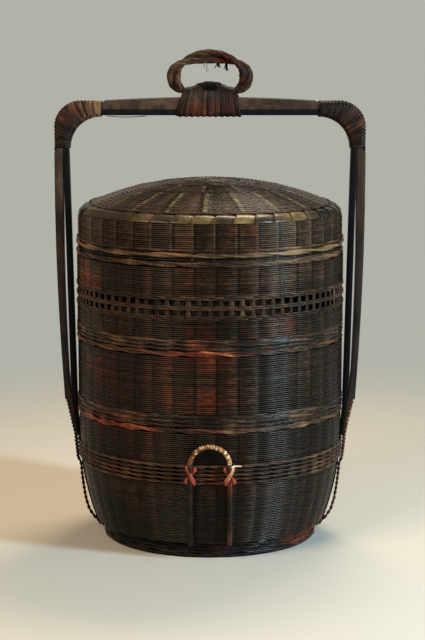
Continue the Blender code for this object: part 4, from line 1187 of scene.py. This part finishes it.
class BASKET_OT_floors(bpy.types.Operator):
    """Weave the three floors and finish the hoops and battens"""

    bl_idname = "basket.floors"
    bl_label = "Floors and hoops"

    def execute(self, context):
        edge = context.scene.basket_handle.edge_radius * 0.7
        rng = random.Random(16)
        for word, body in (("bottom", "cradle"), ("middle", "middle_tier"), ("upper", "upper_tier")):
            floor = f"{word}_tier_floor"
            bm = new_mesh()
            add_woven_floor(bm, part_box(floor)[1].x - 0.6 * MM, sum(heights(floor)) / 2, rng)
            finish_piece(f"{floor}_weave", bm, body, "raw_bamboo", "tan_weave", floor)
            for _, hand in SIDES:
                batten = f"{word}_floor_batten_{hand}"
                rounded_copy(f"{batten}_slat", batten, body, "raw_bamboo", "brown_bamboo", edge)
            lip = f"{word}_tier_lip_hoop"
            outer = solid_radius(lip)
            bm = new_mesh()
            add_hoop(bm, outer - 3.6 * MM, outer, *heights(lip), 1.0 * MM)
            finish_piece(f"{word}_tier_lip", bm, body, "aged_bamboo", "brown_bamboo", lip)
            if word != "bottom":
                bm = new_mesh()
                add_hoop(bm, NEST - 4.7 * MM, NEST - 0.2 * MM, *heights(f"{floor}_hoop"), 0.8 * MM)
                finish_piece(f"{floor}_ring", bm, body, "aged_bamboo", "brown_bamboo", f"{floor}_hoop")
        return {"FINISHED"}


def knee_point(turn, side, top, radius):
    """Where the ray from the knee's centre meets the rounded corner of a bow's face."""
    dx, dz = cos(turn), sin(turn)
    arc_x, arc_z = side - radius, top - radius
    if dx > 0:
        z = KNEE_Z + (side - KNEE_X) * dz / dx
        if z <= arc_z:
            return side, z
    if dz > 0:
        x = KNEE_X + (top - KNEE_Z) * dx / dz
        if x <= arc_x:
            return x, top
    ox, oz = KNEE_X - arc_x, KNEE_Z - arc_z
    along = ox * dx + oz * dz
    reach = sqrt(along**2 - (ox**2 + oz**2 - radius**2)) - along
    return KNEE_X + reach * dx, KNEE_Z + reach * dz


class BASKET_OT_handle(bpy.types.Operator):
    """Round the handle's bows and wind cane round their corners"""

    bl_idname = "basket.handle"
    bl_label = "Handle"

    def execute(self, context):
        handle = context.scene.basket_handle
        rng = random.Random(17)
        for word, finish, slot in (
            ("outer", "oiled_bamboo", "brown_bamboo"), ("inner", "sooted_bamboo", "black_bamboo"),
        ):
            name = f"handle_{word}"
            rounded_copy(f"{name}_slat", f"{name}_bow", "cradle", finish, slot, handle.edge_radius)
        half_thickness = 1.0 * MM
        offset = half_thickness + 0.3 * MM
        outset = offset - CORNER_REBATE
        side_face, top_face = HANDLE_HALF_WIDTH + outset, BAR_TOP - BAR_END_DROP + outset
        turns = handle.corner_turns
        for side, word in SIDES:
            corners = []
            for loop in range(turns):
                # Painted highlight: on the left the turns grow brighter towards the top of the corner, where
                # warm light from the left falls; the right winding is darker all through
                tone = rng.uniform(-0.45, 0.55) + (1.6 * (loop / turns) ** 3 if side < 0 else -0.4)
                for corner in range(4):
                    turn = pi / 2 * (loop + corner / 4) / turns
                    outer = knee_point(turn, side_face, top_face, BOW_CORNER_RADIUS + outset)
                    reach = KNEE_RADIUS - offset
                    inner = (KNEE_X + reach * cos(turn), KNEE_Z + reach * sin(turn))
                    x, z = outer if corner < 2 else inner
                    y = (BOW_HALF_WIDTH + offset) * (1 if corner in (1, 2) else -1)
                    corners.append((
                        Vector((side * x, y, z)),
                        Vector((side * (outer[0] + inner[0]) / 2, 0.0, (outer[1] + inner[1]) / 2)),
                        Vector((-side * sin(turn), 0.0, cos(turn))),
                        3.3 * MM if corner < 2 else 1.9 * MM, tone,
                    ))
            bm = new_mesh()
            add_winding(bm, corners, half_thickness)
            if side < 0:
                # Loose end of the winding, hanging along the underside of the bar
                start, end = Vector((-148 * MM, -12 * MM, BAR_LOW)), Vector((-92 * MM, -12 * MM, BAR_LOW))
                points = [
                    start.lerp(end, k / 12) - Z_AXIS * (1.0 + 1.6 * sin(pi * k / 12)) * MM for k in range(13)
                ]
                add_path_cane(bm, points, -Y_AXIS, 0.6 * MM, 0.6 * MM, 0.9)
            finish_piece(
                f"corner_winding_{word}", bm, "cradle", "rattan_peel", "red_cane", f"corner_binding_{word}",
            )
        return {"FINISHED"}


def ring_bottom(x):
    share = clamp(1.0 - abs(x / RING_HALF_WIDTH) ** RING_CURVE_BELOW)
    return RING_CENTRE - RING_HALF_HEIGHT * share ** (1 / RING_CURVE_BELOW)


def ring_strand(per_lap):
    """Centre line of the ring's one thick strand, which runs round twice."""
    points = []
    for k in range(2 * per_lap):
        lap, place = divmod(k, per_lap)
        turn = tau * place / per_lap
        from_bottom = turn if turn <= pi else turn - tau
        free = max(0.0, abs(from_bottom) - RING_BOUND_ANGLE) / (pi - RING_BOUND_ANGLE)
        twist = RING_HALF_TWIST * free if from_bottom >= 0 else RING_HALF_TWIST * (2.0 - free)
        lay = pi / 2 + twist + pi * lap
        across, down = sin(turn), cos(turn)
        curve = RING_CURVE_BELOW if down > 0 else RING_CURVE_ABOVE
        x = RING_HALF_WIDTH * copysign(abs(across) ** (2 / curve), across)
        z = -RING_HALF_HEIGHT * copysign(abs(down) ** (2 / curve), down)
        normal = Vector((x / RING_HALF_WIDTH**2, 0.0, z / RING_HALF_HEIGHT**2)).normalized()
        shift = normal * cos(lay) + Y_AXIS * sin(lay)
        points.append(Vector((x, 0.0, RING_CENTRE + z)) + shift * RING_LAY_RADIUS)
    return points


def fan_corner(loop, corner, turns, saddle, offset, tone):
    """One of a turn's six corners: up the front of the bar, over the ring and down the back."""
    share = 2 * (loop + corner / 6) / turns - 1.0
    half_span, width = FAN_FOOT if corner in (0, 5) else FAN_BAR if corner in (1, 4) else FAN_CREST
    x, y = share * half_span, BOW_HALF_WIDTH + offset
    if corner in (0, 5):
        # Every other turn stands out a little under the bar
        bump = 0.9 * MM if (loop + corner) % 2 else 0.0
        y, z = y + bump / 2, BAR_LOW - offset - bump
    elif corner in (1, 4):
        z = BAR_TOP + 2.5 * MM
    else:
        crest = ring_bottom(x) + RING_STRAND_RADIUS
        if abs(x) < saddle.x + 2 * offset:
            reach = clamp(1.0 - (x / saddle.x) ** 2)
            crest = max(crest, mix(crest + 1.5 * MM, saddle.z, reach))
        y, z = min(RING_LAY_RADIUS + RING_STRAND_RADIUS, saddle.y + offset), crest + offset
        # Painted shadow: over the ring the cane is made near black, where the ring above shades it
        tone = -1.4
    place = Vector((x, -y if corner < 3 else y, z))
    return place, Vector((x, 0.0, BAR_TOP - 5 * MM)), X_AXIS, width, tone


class BASKET_OT_ring(bpy.types.Operator):
    """Twist the carrying ring and wind the fan of cane that ties it down"""

    bl_idname = "basket.ring"
    bl_label = "Carrying ring"

    def execute(self, context):
        rng = random.Random(18)
        line = ring_strand(120)
        lap = len(line) // 2
        bm = new_mesh()
        canes = 4
        for cane in range(canes):
            points, outs = wound(
                line, Y_AXIS, RING_STRAND_RADIUS - 2.4 * MM, 10, phase=tau * cane / canes, closed=True,
            )
            tone = 0.5 + 0.6 * rng.random()
            add_path_cane(bm, points, outs, 2.5 * MM, 2.3 * MM, tone, sides=8, closed=True)
        core = [(line[k] + line[k + lap]) / 2 for k in range(lap)]
        add_path_cane(bm, core, Y_AXIS, 2.6 * MM, 2.6 * MM, 0.2, sides=8, closed=True)
        finish_piece("ring_rope", bm, "cradle", "rattan_peel", "dark_rattan", "carrying_ring")

        # Tufts that hang from the top of the ring: place, length, number of fibres and half width
        bm = new_mesh()
        for x, length, fibres, half_width in (
            (-4.5, 20, 1, 0.45), (-8.5, 12, 1, 0.45), (11.5, 9, 6, 0.7), (24.0, 13, 6, 0.7),
        ):
            top = RING_CENTRE + RING_HALF_HEIGHT * sqrt(1 - (x * MM / RING_HALF_WIDTH) ** 2)
            for fibre in range(fibres):
                start = Vector(((x + rng.uniform(-2, 2)) * MM, rng.uniform(-2, 2) * MM, top - 7 * MM))
                lean = rng.uniform(-3.5, 4.0) * MM
                drop = length * rng.uniform(0.6, 1.0) * MM
                points = [
                    start + Vector((lean * (k / 6) ** 1.6, 1.2 * MM * sin(k + fibre), -drop * k / 6))
                    for k in range(7)
                ]
                add_path_cane(bm, points, Y_AXIS, half_width * MM, 0.3 * MM, -0.6, sides=5)
        finish_piece("ring_frayed_fibres", bm, "cradle", "frayed_rattan_fibre", "dark_rattan")

        rounded_copy("ring_saddle_block", "ring_saddle", "cradle", "sooted_bamboo", "black_bamboo", 1.5 * MM)
        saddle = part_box("ring_saddle")[1]
        bm = new_mesh()
        made = bmesh.ops.create_uvsphere(bm, u_segments=32, v_segments=16, radius=1.0)["verts"]
        bmesh.ops.scale(bm, vec=(27 * MM, 13.5 * MM, 13 * MM), verts=made)
        bmesh.ops.translate(bm, vec=(0.0, 0.0, saddle.z - 10.4 * MM), verts=made)
        tone_layer = layers(bm)[1]
        for vert in made:
            vert.co *= 1.0 + 0.0016 * sin(900 * vert.co.x + 700 * vert.co.y)
            vert[tone_layer] = -0.8
        finish_piece("ring_fibre_pad", bm, "cradle", "frayed_rattan_fibre", "dark_rattan")

        half_thickness = 0.8 * MM
        turns = context.scene.basket_handle.ring_turns
        corners = []
        for loop in range(turns):
            tone = rng.uniform(-0.1, 1.0)
            for corner in range(6):
                corners.append(fan_corner(loop, corner, turns, saddle, half_thickness + 0.3 * MM, tone))
        bm = new_mesh()
        add_winding(bm, corners, half_thickness)
        finish_piece("ring_winding", bm, "cradle", "rattan_peel", "red_cane", "ring_binding")
        return {"FINISHED"}


def tube_line(node, count):
    """Middle line of a bent tube that lies in the plane Y = 0, found by cutting its solid level by level."""
    low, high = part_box(node)
    bm = bmesh.new()
    bm.from_mesh(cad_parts[node].data)
    line = []
    for k in range(count + 1):
        height = mix(high.z - 0.4 * MM, low.z + 0.4 * MM, k / count)
        cut = bmesh.ops.bisect_plane(
            bm, geom=bm.verts[:] + bm.edges[:] + bm.faces[:], plane_co=(0.0, 0.0, height), plane_no=Z_AXIS,
        )["geom_cut"]
        places = [spot.co.x for spot in cut if isinstance(spot, bmesh.types.BMVert)]
        line.append(Vector(((min(places) + max(places)) / 2, 0.0, height)))
    bm.free()
    return line


class BASKET_OT_ribs(bpy.types.Operator):
    """Wrap the ribs at both sides, from the ends of the outer bow to the foot"""

    bl_idname = "basket.ribs"
    bl_label = "Side ribs"

    def execute(self, context):
        rng = random.Random(19)
        for (side, word), finish in zip(SIDES, ("brown_lacquered_rattan", "bare_rattan")):
            line = tube_line(f"side_rib_{word}", 48)
            upper = [p for p in line if p.z >= BAND_LOW - 3 * MM]
            lower = [p for p in line if p.z <= BAND_LOW]
            out = X_AXIS * side
            bm = new_mesh()
            add_path_cane(bm, upper, out, 1.9 * MM, 1.9 * MM, -1.2)
            points, outs = wound(upper, Y_AXIS, 2.1 * MM, 16, finer=10)
            tones = [rng.uniform(-0.6, 0.6) for _ in range(19)]
            tones = [tones[int(18 * k / len(points))] for k in range(len(points))]
            add_path_cane(bm, points, outs, 1.8 * MM, 0.75 * MM, tones)
            add_path_cane(bm, lower, out, 1.3 * MM, 1.3 * MM, -1.3)
            # A flat cane that lies on the weave, inside the twisted one
            inner = [Vector((side * (belly_radius(p.z) + 1.5 * MM), 0.0, p.z)) for p in lower]
            add_path_cane(bm, inner, out, 3.4 * MM, 1.3 * MM, -0.5)
            for strand in range(2):
                points, outs = wound(lower, Y_AXIS, 1.5 * MM, 7, phase=pi * strand, finer=6)
                add_path_cane(bm, points, outs, 1.1 * MM, 0.9 * MM, -0.7 + 0.5 * strand)
            finish_piece(f"side_rib_{word}_wrap", bm, "cradle", finish, "tan_cane", f"side_rib_{word}")
        return {"FINISHED"}


def leg_line(x, side, foot):
    """Middle line of a loop's leg, down the belly from the top of the band."""
    leg = []
    for k in range(25):
        z = mix(BAND_HIGH + 1.5 * MM, foot + 1 * MM, k / 24)
        on_band = z > BAND_LOW - 4 * MM
        reach, clear = (belly_radius(z) + 2.7 * MM, 7.1 * MM) if on_band else (belly_radius(z), 4.3 * MM)
        leg.append(Vector((x, side * (sqrt(reach**2 - x**2) + clear), z)))
    return leg


def add_lashing(bm, hand, half, out, back, rng):
    """Cane crossed over a leg: three turns one way in front, and two the other way under them."""
    for wrap in range(3):
        drop = (wrap - 1) * 2.4 * MM
        start = back + Vector((hand * (half + 6.0 * MM), 0.0, BAND_HIGH - 2 * MM + drop))
        end = back + Vector((hand * (half - 6.5 * MM), 0.0, BAND_LOW + 4 * MM + drop))
        points = []
        for k in range(13):
            bulge = 5.6 * MM * sin(pi * k / 12) ** 0.6 - 3.0 * MM
            points.append(start.lerp(end, k / 12) + out * bulge)
        add_path_cane(bm, points, out, 1.7 * MM, 1.0 * MM, rng.uniform(-0.1, 1.2))
    for wrap in range(2):
        drop = (wrap - 0.5) * 2.6 * MM
        start = back + Vector((hand * (half - 7.5 * MM), 0.0, BAND_HIGH - 4 * MM + drop))
        end = back + Vector((hand * (half + 7.0 * MM), 0.0, BAND_LOW + 6 * MM + drop))
        points = [start.lerp(end, k / 8) + out * (-1.6 * MM + 1.2 * MM * cos(tau * k / 8)) for k in range(9)]
        swelling = [(2.7 - 1.3 * sin(pi * k / 8)) * MM for k in range(9)]
        add_path_cane(bm, points, out, swelling, swelling, 0.5)


class BASKET_OT_loops(bpy.types.Operator):
    """Bend and wrap the front and back loops and lash their legs to the band"""

    bl_idname = "basket.loops"
    bl_label = "Loops"

    def execute(self, context):
        half_wrap = context.scene.basket_loops.wrap_width / 2
        rng = random.Random(20)
        for word, side in (("front", -1), ("back", 1)):
            low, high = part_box(f"{word}_loop")
            half = high.x - 4.0 * MM
            out = Y_AXIS * side
            spring = BAND_HIGH + 1.5 * MM
            rise = high.z - spring - 3.3 * MM
            arch_depth = max(abs(low.y), abs(high.y)) - 3.3 * MM - 3.0 * MM
            bm = new_mesh()
            for hand, _ in SIDES:
                add_path_cane(bm, leg_line(hand * half, side, low.z), out, 3.7 * MM, 3.6 * MM, 0.75, sides=10)
            finish_piece(f"{word}_loop_legs", bm, "cradle", "smoked_rattan_and_shade", "red_cane", f"{word}_loop")

            arch = []
            for k in range(33):
                across, up = cos(pi * k / 32), sin(pi * k / 32)
                arch.append(Vector((half * across, side * (arch_depth + 3.0 * MM * up), spring + rise * up)))
            bm = new_mesh()
            add_path_cane(bm, arch, out, 2.7 * MM, 2.7 * MM, 0.4, sides=8)
            points, outs = wound(arch, Y_AXIS, 2.6 * MM, 24, finer=8)
            # Each half turn has a tone of its own, and the arch is painted brighter at its top and darker
            # towards its ends: painted light from above
            halves = [rng.uniform(-0.3, 1.3) for _ in range(49)]
            shares = [k / (len(points) - 1) for k in range(len(points))]
            tones = [halves[int(share * 48)] + 0.5 - 2.4 * abs(share - 0.5) ** 1.5 for share in shares]
            add_path_cane(bm, points, outs, half_wrap, 0.8 * MM, tones)
            # Loose end of the wrapping, beside the leg on the right
            start = Vector((half + 1.5 * MM, side * (arch_depth + 1.5 * MM), BAND_HIGH - 1.5 * MM))
            way = Vector((15 * MM, -side * 2.5 * MM, 0.0))
            points = [start + way * k / 8 + Z_AXIS * 1.6 * MM * sin(k / 3) for k in range(9)]
            add_path_cane(bm, points, out, 1.2 * MM, 0.9 * MM, 1.0)
            finish_piece(f"{word}_loop_arch", bm, "cradle", "bare_rattan", "tan_cane")
            for hand, hand_word in SIDES:
                bm = new_mesh()
                add_lashing(bm, hand, half, out, out * (arch_depth - 1 * MM), rng)
                finish_piece(
                    f"{word}_tie_{hand_word}", bm, "cradle", "vermilion_rattan", "red_cane",
                    f"{word}_lashing_{hand_word}",
                )
        return {"FINISHED"}


class BASKET_OT_stage(bpy.types.Operator):
    """Set the floor, backdrop, lamps and camera"""

    bl_idname = "basket.stage"
    bl_label = "Stage"

    def execute(self, context):
        scene = context.scene
        stage = scene.basket_stage
        scene.view_settings.view_transform = "Standard"

        bm = bmesh.new()
        bmesh.ops.create_circle(bm, cap_ends=True, segments=96, radius=2.0)
        mesh = bpy.data.meshes.new("floor")
        bm.to_mesh(mesh)
        bm.free()
        mesh.materials.append(floor_material(stage.floor))
        floor = bpy.data.objects.new("floor", mesh)
        scene.collection.objects.link(floor)

        # The backdrop's colour is seen and reflected, and a weak cool light comes from it
        world = bpy.data.worlds.new("backdrop")
        scene.world = world
        world.use_nodes = True
        tree = world.node_tree
        tree.nodes.clear()
        path = add_node(tree, "LightPath").node
        seen = 0.0
        for ray in ("Is Camera Ray", "Is Glossy Ray", "Is Transmission Ray"):
            seen = add_node(tree, "Math", {0: path.outputs[ray], 1: seen}, operation="MAXIMUM")
        lighting = add_node(tree, "Background", {"Color": (0.93, 0.95, 1.0, 1.0), "Strength": 0.08})
        shown = add_node(tree, "Background", {"Color": (*stage.backdrop, 1.0), "Strength": 1.0})
        blend = add_node(tree, "MixShader", {0: seen, 1: lighting, 2: shown})
        tree.links.new(blend, tree.nodes.new("ShaderNodeOutputWorld").inputs["Surface"])

        # Lamps: place, target, size, power and colour
        for name, place, target, size, power, colour in (
            ("key_lamp", (-1.45, -1.7, 1.9), (0.0, 0.0, 0.28), (1.3, 0.9), 54.0, (1.0, 0.89, 0.76)),
            ("window_lamp", (2.0, -1.2, 0.9), (0.0, 0.0, 0.3), (0.24, 1.2), 132.0, (0.5, 0.75, 1.0)),
            ("top_lamp", (0.35, 0.9, 2.1), (0.0, 0.0, 0.45), (0.8, 0.5), 32.0, (1.0, 0.88, 0.72)),
        ):
            data = bpy.data.lights.new(name, "AREA")
            data.shape = "RECTANGLE"
            data.size, data.size_y = size
            data.energy = power
            data.color = colour
            lamp = bpy.data.objects.new(name, data)
            lamp.location = place
            lamp.rotation_euler = (Vector(target) - Vector(place)).to_track_quat("-Z", "Y").to_euler()
            scene.collection.objects.link(lamp)

        data = bpy.data.cameras.new("camera")
        data.lens = stage.lens
        data.sensor_width = 36.0
        camera = bpy.data.objects.new("camera", data)
        # The picture's middle lies 3.6 mm to the right of the basket's axis
        camera.location = (0.0036, -stage.distance, stage.camera_height)
        camera.rotation_euler = (pi / 2 - stage.tilt, 0.0, 0.0)
        scene.collection.objects.link(camera)
        scene.camera = camera
        return {"FINISHED"}


class BASKET_PT_panel(bpy.types.Panel):
    """Lists the basket's sizes, colours and pieces"""

    bl_idname = "BASKET_PT_panel"
    bl_label = "Bamboo basket"
    bl_space_type = "VIEW_3D"
    bl_region_type = "UI"
    bl_category = "Basket"

    def draw(self, context):
        for name, group in GROUPS.items():
            box = self.layout.box()
            box.label(text=group.__doc__)
            for prop in group.__annotations__:
                box.prop(getattr(context.scene, name), prop)
        for operator in OPERATORS:
            self.layout.operator(operator.bl_idname)


OPERATORS = (
    BASKET_OT_walls, BASKET_OT_openwork, BASKET_OT_lid, BASKET_OT_ropes, BASKET_OT_band, BASKET_OT_floors,
    BASKET_OT_handle, BASKET_OT_ring, BASKET_OT_ribs, BASKET_OT_loops, BASKET_OT_stage,
)
CLASSES = (*GROUPS.values(), *OPERATORS, BASKET_PT_panel)


def register():
    for cls in CLASSES:
        bpy.utils.register_class(cls)
    for name, group in GROUPS.items():
        setattr(bpy.types.Scene, name, PointerProperty(type=group))


def unregister():
    for name in GROUPS:
        delattr(bpy.types.Scene, name)
    for cls in reversed(CLASSES):
        bpy.utils.unregister_class(cls)


def main():
    register()
    for operator in OPERATORS:
        getattr(bpy.ops.basket, operator.bl_idname.split(".")[1])()


if __name__ == "__main__":
    main()
